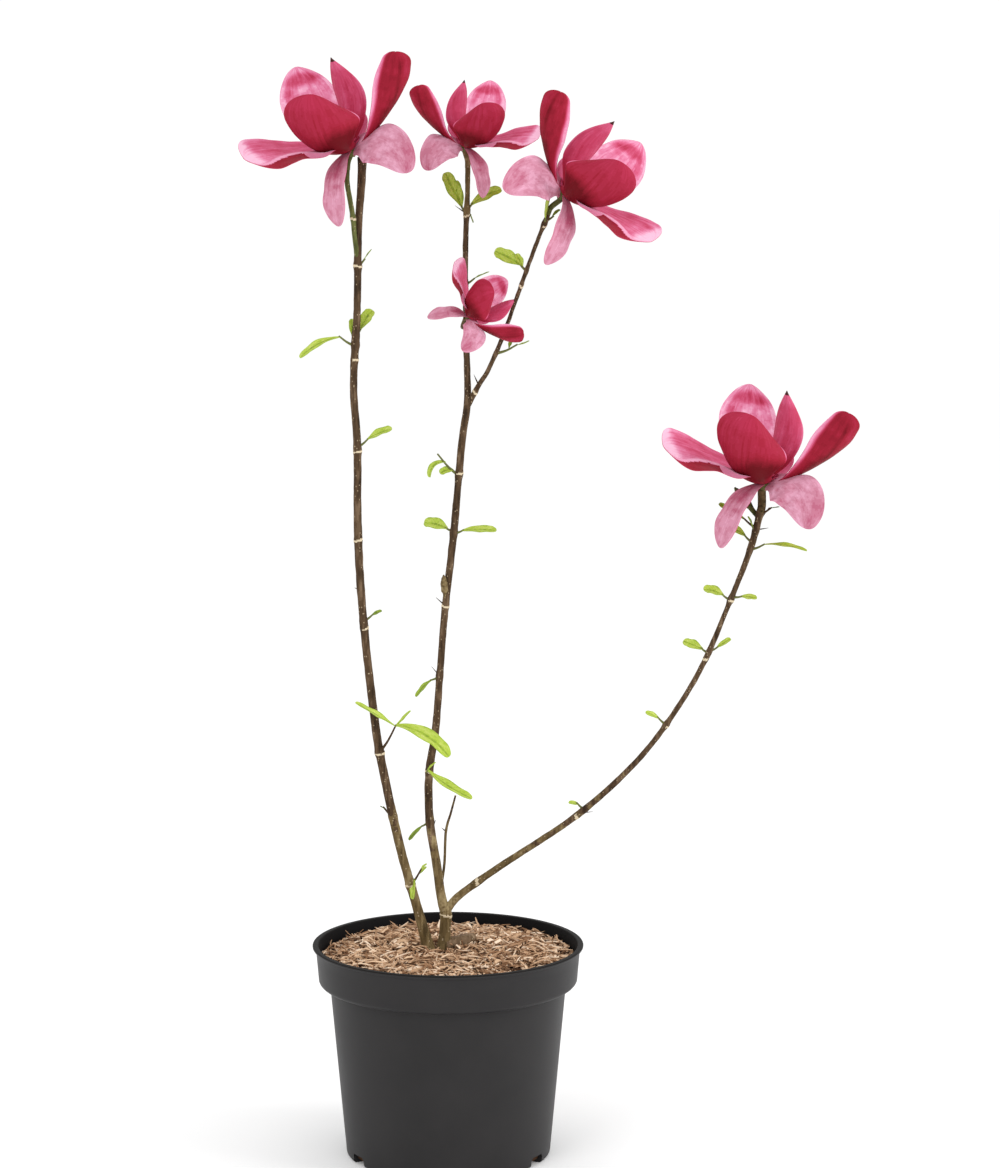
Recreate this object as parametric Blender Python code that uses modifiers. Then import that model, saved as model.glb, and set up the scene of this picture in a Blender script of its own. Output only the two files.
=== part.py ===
"""A young magnolia with five open blooms, growing in a round nursery pot.

Metres, +Z up, +X to the right, -Y to the front. The origin is the middle of the pot's flat
underside. Directions are an azimuth (0 right, 90 back, 180 left, 270 front) and a rise, in degrees.
"""
from collections import namedtuple
from math import cos, pi, radians, sin

import bmesh
import bpy
from mathutils import Matrix, Vector

GAP = 0.0003
WELD = 0.00001

# Pot, from the lip down
POT_HEIGHT = 0.182
LIP_RADIUS = 0.115
LIP_HEIGHT = 0.0026
BAND_TOP_RADIUS = 0.1122
BAND_FOOT_RADIUS = 0.1099
BAND_HEIGHT = 0.0296
SHOULDER = 0.0062
BODY_TOP_RADIUS = 0.1001
BODY_FOOT_RADIUS = 0.0871
FOOT_ROUND = 0.0030
WALL = 0.0022
FLOOR = 0.0030
POT_SIDES = 40
NOTCHES = 6
NOTCH_WIDTH = 0.018
NOTCH_HEIGHT = 0.0085
NOTCH_DEPTH = 0.008

# Root ball: the mulch rises from its edge to a flat middle, which is ground level for the stems
GROUND = 0.1755
GROUND_RADIUS = 0.035
MULCH_EDGE = 0.1685

# Limbs: places of the axis and its diameter, from the foot to the tip
FOOT = 0.003
LEAD = 0.002
STEPS_BETWEEN_STATIONS = 2
LIMB_SIDES = 2
TWIG_SIDES = 0
LIMBS = {
    "trunk": (
        (-0.003, 0.012, GROUND + GAP, 0.0135),
        (-0.003, 0.012, 0.186, 0.0104),
        (-0.002, 0.012, 0.200, 0.0098),
        (-0.002, 0.012, 0.208, 0.0098),
        (-0.003, 0.012, 0.211, 0.0098),
    ),
    "left_stem": (
        (-0.017, 0.008, GROUND + GAP, 0.0125),
        (-0.020, 0.007, 0.188, 0.0098),
        (-0.0256, 0.006, 0.209, 0.0085),
        (-0.0398, 0.002, 0.262, 0.0080),
        (-0.0511, -0.001, 0.315, 0.0077),
        (-0.0602, -0.004, 0.367, 0.0074),
        (-0.0708, -0.011, 0.470, 0.0069),
        (-0.0741, -0.016, 0.546, 0.0068),
        (-0.0738, -0.021, 0.609, 0.0068),
        (-0.0765, -0.025, 0.659, 0.0066),
        (-0.0730, -0.029, 0.721, 0.0065),
        (-0.0717, -0.033, 0.783, 0.0064),
        (-0.0680, -0.037, 0.846, 0.0060),
    ),
    "middle_stem": (
        (-0.006, 0.013, 0.220, 0.0083),
        (-0.0098, 0.014, 0.247, 0.0078),
        (-0.0157, 0.017, 0.285, 0.0075),
        (-0.0161, 0.019, 0.324, 0.0071),
        (-0.0106, 0.021, 0.362, 0.0066),
        (-0.0065, 0.025, 0.413, 0.0063),
        (-0.0024, 0.028, 0.464, 0.0063),
        (0.0048, 0.032, 0.527, 0.0064),
        (0.0118, 0.037, 0.603, 0.0062),
        (0.0167, 0.039, 0.641, 0.0060),
        (0.0158, 0.042, 0.690, 0.0052),
        (0.0151, 0.047, 0.766, 0.0046),
        (0.0168, 0.050, 0.812, 0.0045),
        (0.0170, 0.052, 0.841, 0.0046),
    ),
    "side_branch": (
        (0.017, 0.039, 0.636, 0.0048),
        (0.0262, 0.034, 0.6538, 0.0044),
        (0.0341, 0.029, 0.667, 0.0040),
        (0.0453, 0.020, 0.693, 0.0037),
        (0.0545, 0.011, 0.719, 0.0036),
        (0.0677, -0.003, 0.757, 0.0035),
        (0.0768, -0.013, 0.782, 0.0035),
        (0.086, -0.021, 0.805, 0.0038),
    ),
    "right_bough": (
        (-0.003, 0.012, 0.205, 0.0076),
        (0.0097, 0.011, 0.2208, 0.0066),
        (0.046, 0.008, 0.248, 0.0060),
        (0.104, 0.003, 0.288, 0.0056),
        (0.1484, -0.002, 0.328, 0.0052),
        (0.1803, -0.007, 0.3670, 0.0048),
        (0.2112, -0.014, 0.4190, 0.0046),
        (0.2325, -0.020, 0.471, 0.0045),
        (0.2510, -0.028, 0.522, 0.0050),
        (0.2602, -0.033, 0.560, 0.0064),
    ),
    "green_shoot": (
        (-0.072, -0.031, 0.760, 0.0044),
        (-0.0745, -0.0375, 0.782, 0.0042),
        (-0.0760, -0.0405, 0.800, 0.0043),
        (-0.0801, -0.0415, 0.826, 0.0042),
        (-0.079, -0.0415, 0.842, 0.0040),
    ),
    "dead_twig": (
        (-0.007, 0.013, 0.224, 0.0030),
        (-0.0034, 0.020, 0.245, 0.0024),
        (-0.0020, 0.026, 0.273, 0.0024),
        (0.0023, 0.030, 0.289, 0.0021),
        (0.0062, 0.033, 0.303, 0.0018),
    ),
    "old_stub": (
        (-0.003, 0.011, 0.1775, 0.0125),
        (0.010, 0.017, 0.1785, 0.0128),
        (0.017, 0.0215, 0.1800, 0.0108),
        (0.0225, 0.025, 0.1815, 0.0060),
    ),
}
STANDING = ("trunk", "left_stem")
GROWS_ON = {"middle_stem": "trunk"}
GROWS_FROM = {
    "right_bough": ("trunk", "middle_stem"),
    "side_branch": ("middle_stem",),
    "green_shoot": ("left_stem",),
    "dead_twig": ("middle_stem", "trunk"),
    "old_stub": ("trunk",),
}
LYING = ("old_stub",)

# A blade is a tepal or a leaf: a midrib that bends from one direction to another, and a
# width that is broadest part of the way along. Its cup, twist and point shape the rest, and
# its skew sets the tip off to its left.
Blade = namedtuple(
    "Blade",
    "azimuth sweep rise droop length width cup twist untwist broad claw point skew",
)

# One bloom seen from the front, lengths in millimetres. The last three are at its back.
TEPALS = {
    "left": Blade(-167, 28, 6, 28, 88, 53, 13, 0, 33, 0.82, 0.41, 0.70, -0.21),
    "front": Blade(-119, 24, -17, -122, 82, 67, 50, 16, -6, 0.72, 0.35, 0.44, -0.16),
    "tall": Blade(120, -6, 7, -71, 114, 52, 6, -23, 25, 0.70, 0.31, 0.63, 0.25),
    "narrow": Blade(-154, 29, 88, 16, 80, 47, 84, -19, -39, 0.47, 0.21, 1.20, -0.07),
    "spoon": Blade(-10, -82, 37, -40, 101, 35, 56, 19, 30, 0.69, 0.15, 0.42, 0.0),
    "right": Blade(-39, -14, 45, 131, 65, 42, -8, 54, -3, 0.43, 0.32, 0.41, 0.26),
    "hanging": Blade(-118, 6, -25, 87, 73, 27, 6, 1, -27, 0.74, 0.22, 0.57, 0.02),
    "back_right": Blade(40, 0, 8, 4, 56, 34, 20, 0, 0, 0.62, 0.25, 0.55, 0.0),
    "back_left": Blade(150, 0, 4, 2, 74, 34, 14, 0, 0, 0.62, 0.25, 0.55, 0.0),
    "back": Blade(95, 0, 35, -35, 50, 34, 40, 0, 0, 0.60, 0.30, 0.60, 0.0),
}
MILLIMETRE = 0.001
TEPAL_ROOT = 0.003
TEPAL_ROWS = 6
TEPAL_COLUMNS = 3
TEPAL_THICKNESS = 0.0011
HEART_RADIUS = 0.0050
HEART_DROP = 0.005
CONE_HEIGHT = 0.024
CONE_TIP = 0.0018

# A bloom leans forward or back by its tilt, turns by its yaw, and rolls towards the right
Bloom = namedtuple("Bloom", "limb place yaw tilt roll scale mirrored stalk")
BLOOMS = {
    "bloom_left": Bloom("green_shoot", (-0.0772, -0.0415, 0.8512), 0, 0, 0, 0.96, False, 0.0038),
    "bloom_middle": Bloom("middle_stem", (0.0141, 0.052, 0.852), 3.1, 0, -11.4, 0.70, True, 0.0048),
    "bloom_side": Bloom("side_branch", (0.0956, -0.0235, 0.8151), 1, 0, 23.3, 0.912, True, 0.0045),
    "bloom_right": Bloom(
        "right_bough", (0.2618, -0.0345, 0.5782), -6.9, -6.3, 24.5, 0.991, False, 0.0068
    ),
}
SMALL_BLOOM = Bloom(
    "middle_stem", (0.0177, -0.006, 0.7136), -1.3, -6.1, 80.6, 0.525, False, 0.0032
)
SMALL_BLOOM_ROOT = (0.0155, 0.0435, 0.7030)
SMALL_BLOOM_BEND = (0.0070, 0.0100, 0.7050)

# Leaf shoots: where each leaves its limb, its twig, and the leaves at a share of the twig.
# A leaf that points right shows its upper face to the front by a twist, one to the left by a
# twist below zero.
Leaf = namedtuple("Leaf", "share azimuth rise droop length width twist")
Shoot = namedtuple("Shoot", "limb height azimuth rise reach leaves")
TWIG_THICKNESS = 0.0018
LEAF_THICKNESS = 0.0007
LEAF_ROWS = 4
LEAF_FOLD = 52
LEAF_BROAD = 0.60
LEAF_CLAW = 0.16
LEAF_POINT = 0.55
NARROWEST = 0.0012
SHOOTS = {
    "leaf_left_1": Shoot("left_stem", 0.231, -20, 57, 0.018, (
        Leaf(0.9, 20, 50, 20, 0.008, 0.0040, 0),
        Leaf(0.6, 40, 20, -20, 0.012, 0.0040, 0),
        Leaf(0.4, -105, -52, 30, 0.018, 0.0066, 30),
    )),
    "leaf_left_2": Shoot("left_stem", 0.291, 170, 45, 0.012, (
        Leaf(0.7, 175, 30, 0, 0.006, 0.0026, 0),
    )),
    "leaf_left_3": Shoot("left_stem", 0.347, -40, 54, 0.032, (
        Leaf(0.95, 203, 33, 2, 0.042, 0.0092, -28),
        Leaf(0.85, 10, 46, 0, 0.021, 0.0040, 20),
        Leaf(0.98, -25, 0, 50, 0.056, 0.0140, 35),
    )),
    "leaf_left_4": Shoot("left_stem", 0.460, 15, 34, 0.010, (
        Leaf(0.8, 15, 28, 10, 0.010, 0.0036, 40),
    )),
    "leaf_left_5": Shoot("left_stem", 0.607, -15, 38, 0.012, (
        Leaf(0.9, -20, 32, 18, 0.024, 0.0094, 45),
    )),
    "leaf_left_6": Shoot("left_stem", 0.692, 190, 32, 0.016, (
        Leaf(0.9, 200, -6, 38, 0.039, 0.0085, -30),
    )),
    "leaf_left_7": Shoot("left_stem", 0.693, 160, 70, 0.010, (
        Leaf(0.7, 120, 84, 0, 0.014, 0.0060, -20),
    )),
    "leaf_left_8": Shoot("left_stem", 0.700, 50, 45, 0.011, (
        Leaf(0.7, 30, 62, 20, 0.019, 0.0110, 40),
    )),
    "leaf_left_9": Shoot("left_stem", 0.757, 20, 45, 0.009, (
        Leaf(0.7, 15, 52, 0, 0.012, 0.0024, 0),
    )),
    "leaf_middle_1": Shoot("middle_stem", 0.284, 195, -30, 0.009, (
        Leaf(0.8, 195, -40, 10, 0.017, 0.0048, -30),
    )),
    "leaf_middle_2": Shoot("middle_stem", 0.333, -112, -35, 0.010, (
        Leaf(0.7, -20, -39, -20, 0.046, 0.0105, 25),
        Leaf(0.7, -30, 42, 0, 0.011, 0.0040, 0),
    )),
    "leaf_middle_3": Shoot("middle_stem", 0.408, 195, -20, 0.009, (
        Leaf(0.7, 190, -34, 22, 0.021, 0.0056, -30),
    )),
    "leaf_middle_4": Shoot("middle_stem", 0.529, -22, 20, 0.010, (
        Leaf(0.8, -20, 8, 12, 0.031, 0.0092, 35),
    )),
    "leaf_middle_5": Shoot("middle_stem", 0.530, 160, 20, 0.009, (
        Leaf(0.7, 165, 24, 25, 0.021, 0.0125, -45),
    )),
    "leaf_middle_6": Shoot("middle_stem", 0.577, 180, 46, 0.026, (
        Leaf(0.25, 190, 12, 50, 0.012, 0.0085, -40),
        Leaf(0.62, 185, 8, 105, 0.021, 0.0080, -30),
    )),
    "leaf_middle_7": Shoot("middle_stem", 0.738, 30, 28, 0.010, (
        Leaf(0.8, 22, 26, 8, 0.016, 0.0032, 0),
    )),
    "leaf_middle_8": Shoot("middle_stem", 0.800, -25, -50, 0.006, (
        Leaf(0.7, -20, -68, 0, 0.008, 0.0026, 0),
    )),
    "leaf_middle_9": Shoot("middle_stem", 0.797, 165, 55, 0.010, (
        Leaf(0.8, 165, 60, -6, 0.031, 0.0125, -25),
        Leaf(0.7, 120, 70, 10, 0.024, 0.0070, 0),
    )),
    "leaf_middle_10": Shoot("middle_stem", 0.800, 20, 48, 0.008, (
        Leaf(0.7, 10, 38, 24, 0.029, 0.0100, 30),
    )),
    "leaf_side_1": Shoot("side_branch", 0.681, 10, 22, 0.020, (
        Leaf(0.95, 20, 0, -30, 0.012, 0.0034, 0),
        Leaf(0.6, 60, 50, 0, 0.010, 0.0040, 0),
    )),
    "leaf_side_2": Shoot("side_branch", 0.752, 170, 45, 0.009, (
        Leaf(0.8, 172, 32, 26, 0.021, 0.0124, -40),
        Leaf(0.5, 160, 62, 10, 0.014, 0.0060, -30),
    )),
    "leaf_side_3": Shoot("side_branch", 0.791, -75, 45, 0.007, (
        Leaf(0.7, -35, 76, 0, 0.020, 0.0088, 15),
    )),
    "leaf_side_4": Shoot("side_branch", 0.794, 5, 30, 0.008, (
        Leaf(0.8, 10, 50, 20, 0.009, 0.0046, 20),
    )),
    "leaf_right_1": Shoot("right_bough", 0.297, 160, 40, 0.009, (
        Leaf(0.7, 165, 10, 0, 0.009, 0.0050, -30),
    )),
    "leaf_right_2": Shoot("right_bough", 0.372, 185, 42, 0.010, (
        Leaf(0.8, 190, 30, 10, 0.013, 0.0064, -40),
    )),
    "leaf_right_3": Shoot("right_bough", 0.434, 165, 32, 0.008, (
        Leaf(0.7, 165, 20, 0, 0.018, 0.0100, -40),
    )),
    "leaf_right_4": Shoot("right_bough", 0.436, 25, 20, 0.009, (
        Leaf(0.8, 25, 27, 0, 0.015, 0.0052, 40),
    )),
    "leaf_right_5": Shoot("right_bough", 0.480, 190, 34, 0.009, (
        Leaf(0.8, 190, 30, 26, 0.018, 0.0120, -35),
    )),
    "leaf_right_6": Shoot("right_bough", 0.482, -12, 5, 0.009, (
        Leaf(0.8, -15, 0, 10, 0.014, 0.0066, 35),
    )),
    "leaf_right_7": Shoot("right_bough", 0.523, -10, 22, 0.013, (
        Leaf(0.9, -14, 6, 25, 0.037, 0.0056, 25),
    )),
    "leaf_right_8": Shoot("right_bough", 0.529, 165, 42, 0.010, (
        Leaf(0.8, 165, 34, 10, 0.016, 0.0080, -40),
    )),
    "leaf_right_9": Shoot("right_bough", 0.538, 225, 55, 0.008, (
        Leaf(0.7, 205, 60, 0, 0.010, 0.0060, -30),
    )),
    "leaf_right_10": Shoot("right_bough", 0.541, 145, 30, 0.014, (
        Leaf(0.9, 150, 26, 0, 0.027, 0.0060, -40),
    )),
    "leaf_right_11": Shoot("right_bough", 0.553, -25, 30, 0.012, (
        Leaf(0.9, -25, 10, 0, 0.008, 0.0030, 0),
    )),
}

# The fat bud pressed to the middle stem, and the dark one behind the right bloom
Bud = namedtuple("Bud", "limb height azimuth rise reach radius")
BUDS = {
    "bud_middle": Bud("middle_stem", 0.4695, 246, 80, 0.025, 0.0031),
    "bud_right": Bud("right_bough", 0.550, 150, 47, 0.033, 0.0036),
}

COLOURS = {
    "pot": (0.035, 0.037, 0.040),
    "root_ball": (0.300, 0.150, 0.080),
    "wood": (0.095, 0.060, 0.035),
    "green_wood": (0.110, 0.140, 0.030),
    "bloom": (0.480, 0.040, 0.120),
    "leaf": (0.250, 0.450, 0.030),
    "bud": (0.080, 0.090, 0.030),
}
ROUGHNESS = 0.6


def clear_scene():
    for obj in list(bpy.data.objects):
        bpy.data.objects.remove(obj)


def collection(name):
    group = bpy.data.collections.new(name)
    bpy.context.scene.collection.children.link(group)
    return group


def direction(azimuth, rise):
    a = radians(azimuth)
    e = radians(rise)
    return Vector((cos(e) * cos(a), cos(e) * sin(a), sin(e)))


def add_object(name, data):
    obj = bpy.data.objects.new(name, data)
    plant.objects.link(obj)
    return obj


def bake(obj):
    """Replace an object by the plain welded mesh that its curve or modifiers give."""
    graph = bpy.context.evaluated_depsgraph_get()
    mesh = bpy.data.meshes.new_from_object(obj.evaluated_get(graph))
    work = bmesh.new()
    work.from_mesh(mesh)
    bmesh.ops.remove_doubles(work, verts=work.verts, dist=WELD)
    work.to_mesh(mesh)
    work.free()
    name = obj.name
    matrix = obj.matrix_world.copy()
    bpy.data.objects.remove(obj)
    baked = add_object(name, mesh)
    baked.matrix_world = matrix
    return baked


def paint(obj, colour, roughness=ROUGHNESS):
    material = bpy.data.materials.new(obj.name)
    material.use_nodes = True
    shader = material.node_tree.nodes["Principled BSDF"]
    shader.inputs["Base Color"].default_value = (*colour, 1.0)
    shader.inputs["Roughness"].default_value = roughness
    shader.inputs["Metallic"].default_value = 0.0
    obj.data.materials.clear()
    obj.data.materials.append(material)
    obj.data.shade_smooth()
    obj.data.set_sharp_from_angle(angle=radians(40))


def combine(obj, others, operation):
    """Join a group of objects onto this one, or cut them away from it."""
    group = collection(f"{obj.name} {operation}")
    for other in others:
        plant.objects.unlink(other)
        group.objects.link(other)
        other.hide_render = True
        other.display_type = "WIRE"
    modifier = obj.modifiers.new(operation, "BOOLEAN")
    modifier.operation = operation
    modifier.operand_type = "COLLECTION"
    modifier.collection = group
    modifier.solver = "EXACT"
    result = bake(obj)
    for other in others:
        bpy.data.objects.remove(other)
    bpy.data.collections.remove(group)
    return result


def faces_of_shell(seed):
    shell = {seed}
    front = [seed]
    while front:
        face = front.pop()
        for edge in face.edges:
            for neighbour in edge.link_faces:
                if neighbour not in shell:
                    shell.add(neighbour)
                    front.append(neighbour)
    return shell


def keep_largest_shell(obj):
    """Drop loose scraps and fill sealed hollows."""
    work = bmesh.new()
    work.from_mesh(obj.data)
    left = set(work.faces)
    shells = []
    while left:
        shell = faces_of_shell(next(iter(left)))
        shells.append(shell)
        left -= shell
    shells.sort(key=lambda shell: sum(face.calc_area() for face in shell))
    spare = [face for shell in shells[:-1] for face in shell]
    bmesh.ops.delete(work, geom=spare, context="FACES")
    work.to_mesh(obj.data)
    work.free()


def turned(name, profile):
    """A closed solid turned from (radius, height) points, from the axis round to the axis."""
    mesh = bpy.data.meshes.new(name)
    edges = [(i, i + 1) for i in range(len(profile) - 1)]
    mesh.from_pydata([(radius, 0.0, height) for radius, height in profile], edges, [])
    obj = add_object(name, mesh)
    screw = obj.modifiers.new("turn", "SCREW")
    screw.axis = "Z"
    screw.steps = POT_SIDES
    screw.render_steps = POT_SIDES
    screw.use_merge_vertices = True
    screw.merge_threshold = WELD
    return bake(obj)


def inner_wall():
    """The pot's inside from the floor to the lip, as (radius, height) points."""
    shoulder_foot = POT_HEIGHT - BAND_HEIGHT - SHOULDER
    return [
        (BODY_FOOT_RADIUS - WALL - FOOT_ROUND / 2, FLOOR),
        (BODY_TOP_RADIUS - WALL, shoulder_foot),
        (BAND_FOOT_RADIUS - WALL, shoulder_foot + SHOULDER),
        (BAND_TOP_RADIUS - WALL, POT_HEIGHT),
    ]


def make_pot():
    shoulder_foot = POT_HEIGHT - BAND_HEIGHT - SHOULDER
    lip_foot = POT_HEIGHT - LIP_HEIGHT
    profile = [
        (0.0, FLOOR),
        *inner_wall(),
        (LIP_RADIUS - 0.001, POT_HEIGHT),
        (LIP_RADIUS, POT_HEIGHT - 0.0015),
        (LIP_RADIUS - 0.0004, lip_foot + 0.001),
        (BAND_TOP_RADIUS, lip_foot),
        (BAND_FOOT_RADIUS, POT_HEIGHT - BAND_HEIGHT),
        (BAND_FOOT_RADIUS - 0.004, shoulder_foot + 0.0045),
        (BODY_TOP_RADIUS, shoulder_foot),
        (BODY_FOOT_RADIUS, FOOT_ROUND),
        (BODY_FOOT_RADIUS - 0.0008, 0.0009),
        (BODY_FOOT_RADIUS - FOOT_ROUND, 0.0),
        (0.0, 0.0),
    ]
    pot = turned("pot", profile)
    pot = combine(pot, [make_notch(i) for i in range(NOTCHES)], "DIFFERENCE")
    paint(pot, COLOURS["pot"], 0.55)


def block(name, place, size):
    """A plain block of a size round a place."""
    bpy.ops.mesh.primitive_cube_add(size=1.0)
    obj = bpy.context.object
    for group in list(obj.users_collection):
        group.objects.unlink(obj)
    plant.objects.link(obj)
    obj.name = name
    obj.data.transform(Matrix.Translation(place) @ Matrix.Diagonal((*size, 1.0)))
    return obj


def make_notch(index):
    """The drain notch cut up into the pot's bottom edge."""
    size = (NOTCH_DEPTH, NOTCH_WIDTH, 2 * NOTCH_HEIGHT)
    cutter = block(f"notch {index}", (BODY_FOOT_RADIUS, 0.0, 0.0), size)
    cutter.data.transform(Matrix.Rotation(2 * pi * index / NOTCHES - pi / 2, 4, "Z"))
    return cutter


def make_root_ball():
    """Soil and mulch that fill the pot, just clear of its inside."""
    foot, shoulder_foot, shoulder_top, lip = inner_wall()
    rise = (MULCH_EDGE - shoulder_top[1]) / (lip[1] - shoulder_top[1])
    edge = shoulder_top[0] + rise * (lip[0] - shoulder_top[0])
    middle = (GROUND + MULCH_EDGE) / 2
    profile = [
        (0.0, GROUND),
        (GROUND_RADIUS, GROUND),
        ((GROUND_RADIUS + edge) / 2, middle + 0.0015),
        (edge - 0.006, MULCH_EDGE + 0.001),
        (edge - 2 * GAP, MULCH_EDGE),
        (shoulder_top[0] - 2 * GAP, shoulder_top[1]),
        (shoulder_foot[0] - 2 * GAP, shoulder_foot[1]),
        (foot[0] - 2 * GAP, foot[1] + GAP),
        (0.0, foot[1] + GAP),
    ]
    paint(turned("root_ball", profile), COLOURS["root_ball"], 0.9)


def smooth(stations):
    """Points and diameters on a smooth curve through the stations."""
    places = [Vector(station) for station in stations]
    ends = [2 * places[0] - places[1], *places, 2 * places[-1] - places[-2]]
    points = [places[0]]
    for a, b, c, d in zip(ends, ends[1:], ends[2:], ends[3:]):
        for step in range(1, STEPS_BETWEEN_STATIONS + 1):
            t = step / STEPS_BETWEEN_STATIONS
            bend = 2 * a - 5 * b + 4 * c - d
            turn = -a + 3 * b - 3 * c + d
            points.append(0.5 * (2 * b + (c - a) * t + bend * t * t + turn * t ** 3))
    return [(Vector(point[:3]), point[3] / 2) for point in points]


def upright_foot(path):
    """Start a path straight up, so that its cut is level."""
    foot, radius = path[0]
    return [(foot, radius), (foot + Vector((0, 0, FOOT)), 0.9 * radius)] + path[2:]


def grown_on(path, diameter):
    """Two points that carry on straight from the end of another path, just clear of it."""
    end = path[-1][0]
    along = (end - path[-2][0]).normalized()
    return [(end + along * GAP, diameter / 2), (end + along * LEAD, diameter / 2)]


def limb_path(name):
    path = smooth(LIMBS[name])
    if name in STANDING:
        path = upright_foot(path)
    if name in GROWS_ON:
        host = limb_path(GROWS_ON[name])
        path = grown_on(host, LIMBS[GROWS_ON[name]][-1][3]) + path
    return path


def tube(name, path, sides, grow=0.0):
    """A round limb along (place, radius) points, with flat ends."""
    points = [(Vector(place), radius + grow) for place, radius in path]
    if grow:
        start = (points[0][0] - points[1][0]).normalized()
        finish = (points[-1][0] - points[-2][0]).normalized()
        points[0] = (points[0][0] + start * grow, points[0][1])
        points[-1] = (points[-1][0] + finish * grow, points[-1][1])
    curve = bpy.data.curves.new(name, "CURVE")
    curve.dimensions = "3D"
    curve.bevel_depth = 1.0
    curve.bevel_resolution = sides
    curve.use_fill_caps = True
    spline = curve.splines.new("POLY")
    spline.points.add(len(points) - 1)
    for spot, (place, radius) in zip(spline.points, points):
        spot.co = (*place, 1.0)
        spot.radius = radius
    return bake(add_object(name, curve))


def cut_clear(obj, limbs):
    """Cut a piece back until it is just clear of the limbs that it grows from."""
    cutters = [tube(f"{obj.name} from {limb}", PATHS[limb], LIMB_SIDES, GAP) for limb in limbs]
    result = combine(obj, cutters, "DIFFERENCE")
    keep_largest_shell(result)
    return result


def make_limb(name):
    limb = tube(name, PATHS[name], LIMB_SIDES)
    if name in LYING:
        ground = block("ground", (0.0, 0.0, GAP), (2 * LIP_RADIUS, 2 * LIP_RADIUS, 2 * GROUND))
        limb = combine(limb, [ground], "DIFFERENCE")
    if name in GROWS_FROM:
        limb = cut_clear(limb, GROWS_FROM[name])
    paint(limb, COLOURS["green_wood" if name == "green_shoot" else "wood"])


def blade_width(blade, along):
    """The share of a blade's full width at a point along it."""
    if along < blade.broad:
        return blade.claw + (1 - blade.claw) * sin(along / blade.broad * pi / 2) ** 1.3
    beyond = (along - blade.broad) / (1 - blade.broad)
    return max(0.06, (1 - beyond * beyond) ** blade.point)


def blade_frame(blade, along):
    """The blade's direction, the side to its left and the way its inner face looks."""
    azimuth = radians(blade.azimuth + blade.sweep * along)
    rise = radians(blade.rise - blade.droop * along)
    twist = radians(blade.twist - blade.untwist * along)
    forward = Vector((cos(rise) * cos(azimuth), cos(rise) * sin(azimuth), sin(rise)))
    side = Vector((-sin(azimuth), cos(azimuth), 0.0))
    inner = Vector((-sin(rise) * cos(azimuth), -sin(rise) * sin(azimuth), cos(rise)))
    return forward, side * cos(twist) + inner * sin(twist), inner * cos(twist) - side * sin(twist)


def midrib(blade, rows):
    """Places along the blade's midrib, one a row, worked out in short steps."""
    short_steps = 8
    place = Vector()
    places = [place.copy()]
    for step in range(rows * short_steps):
        along = (step + 0.5) / (rows * short_steps)
        place += blade_frame(blade, along)[0] * blade.length / (rows * short_steps)
        if (step + 1) % short_steps == 0:
            places.append(place.copy())
    return places


def make_blade(name, blade, rows, columns, thickness, root):
    """A bent grid of faces with a thickness, from its root to its tip."""
    places = midrib(blade, rows)
    work = bmesh.new()
    bmesh.ops.create_grid(work, x_segments=columns, y_segments=rows, size=1.0)
    cup = radians(blade.cup)
    for vert in work.verts:
        along = (vert.co.y + 1) / 2
        across = vert.co.x
        _, side, inner = blade_frame(blade, along)
        reach = max(NARROWEST, blade.width * blade_width(blade, along)) / 2 / cup
        offset = side * sin(across * cup) * reach + inner * (1 - cos(across * cup)) * reach
        offset += side * blade.skew * blade.width * along ** 3
        vert.co = root + places[round(along * rows)] + offset
    mesh = bpy.data.meshes.new(name)
    work.to_mesh(mesh)
    work.free()
    obj = add_object(name, mesh)
    shell = obj.modifiers.new("thickness", "SOLIDIFY")
    shell.thickness = thickness
    shell.offset = 0.0
    return bake(obj)


def bloom_matrix(bloom):
    turn = Matrix.Rotation(radians(bloom.yaw), 4, "Z") @ Matrix.Rotation(radians(bloom.tilt), 4, "X")
    roll = Matrix.Rotation(radians(bloom.roll), 4, "Y")
    return Matrix.Translation(bloom.place) @ turn @ roll


def placed_tepal(blade, bloom):
    """A tepal at the bloom's own size, mirrored if the bloom is."""
    size = bloom.scale * MILLIMETRE
    blade = blade._replace(length=blade.length * size, width=blade.width * size)
    if bloom.mirrored:
        blade = blade._replace(
            azimuth=180 - blade.azimuth,
            sweep=-blade.sweep,
            twist=-blade.twist,
            untwist=-blade.untwist,
            skew=-blade.skew,
        )
    return blade


def make_tepals(name, bloom):
    tepals = []
    for part, blade in TEPALS.items():
        blade = placed_tepal(blade, bloom)
        root = direction(blade.azimuth, 0) * TEPAL_ROOT * bloom.scale
        tepal = make_blade(
            f"{name} {part}", blade, TEPAL_ROWS, TEPAL_COLUMNS, TEPAL_THICKNESS, root
        )
        tepal.data.transform(bloom_matrix(bloom))
        tepals.append(tepal)
    return tepals


def heart_path(bloom):
    """The swollen end of the stalk and the cone of stamens, along the bloom's own axis."""
    matrix = bloom_matrix(bloom)
    size = bloom.scale
    heights = (
        (-HEART_DROP, 0.75 * HEART_RADIUS),
        (0.0, HEART_RADIUS),
        (0.4 * CONE_HEIGHT, HEART_RADIUS),
        (CONE_HEIGHT, CONE_TIP),
    )
    return [(matrix @ Vector((0, 0, height * size)), radius * size) for height, radius in heights]


def make_bloom(name, bloom, stalk_start):
    heart = heart_path(bloom)
    stalk = [*stalk_start, (heart[0][0].lerp(heart[1][0], 0.3), bloom.stalk / 2)]
    body = tube(name, stalk, LIMB_SIDES)
    pieces = [tube(f"{name} heart", heart, LIMB_SIDES), *make_tepals(name, bloom)]
    body = combine(body, pieces, "UNION")
    keep_largest_shell(body)
    return body


def make_top_bloom(name, bloom):
    body = make_bloom(name, bloom, grown_on(PATHS[bloom.limb], bloom.stalk))
    paint(body, COLOURS["bloom"])


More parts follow.
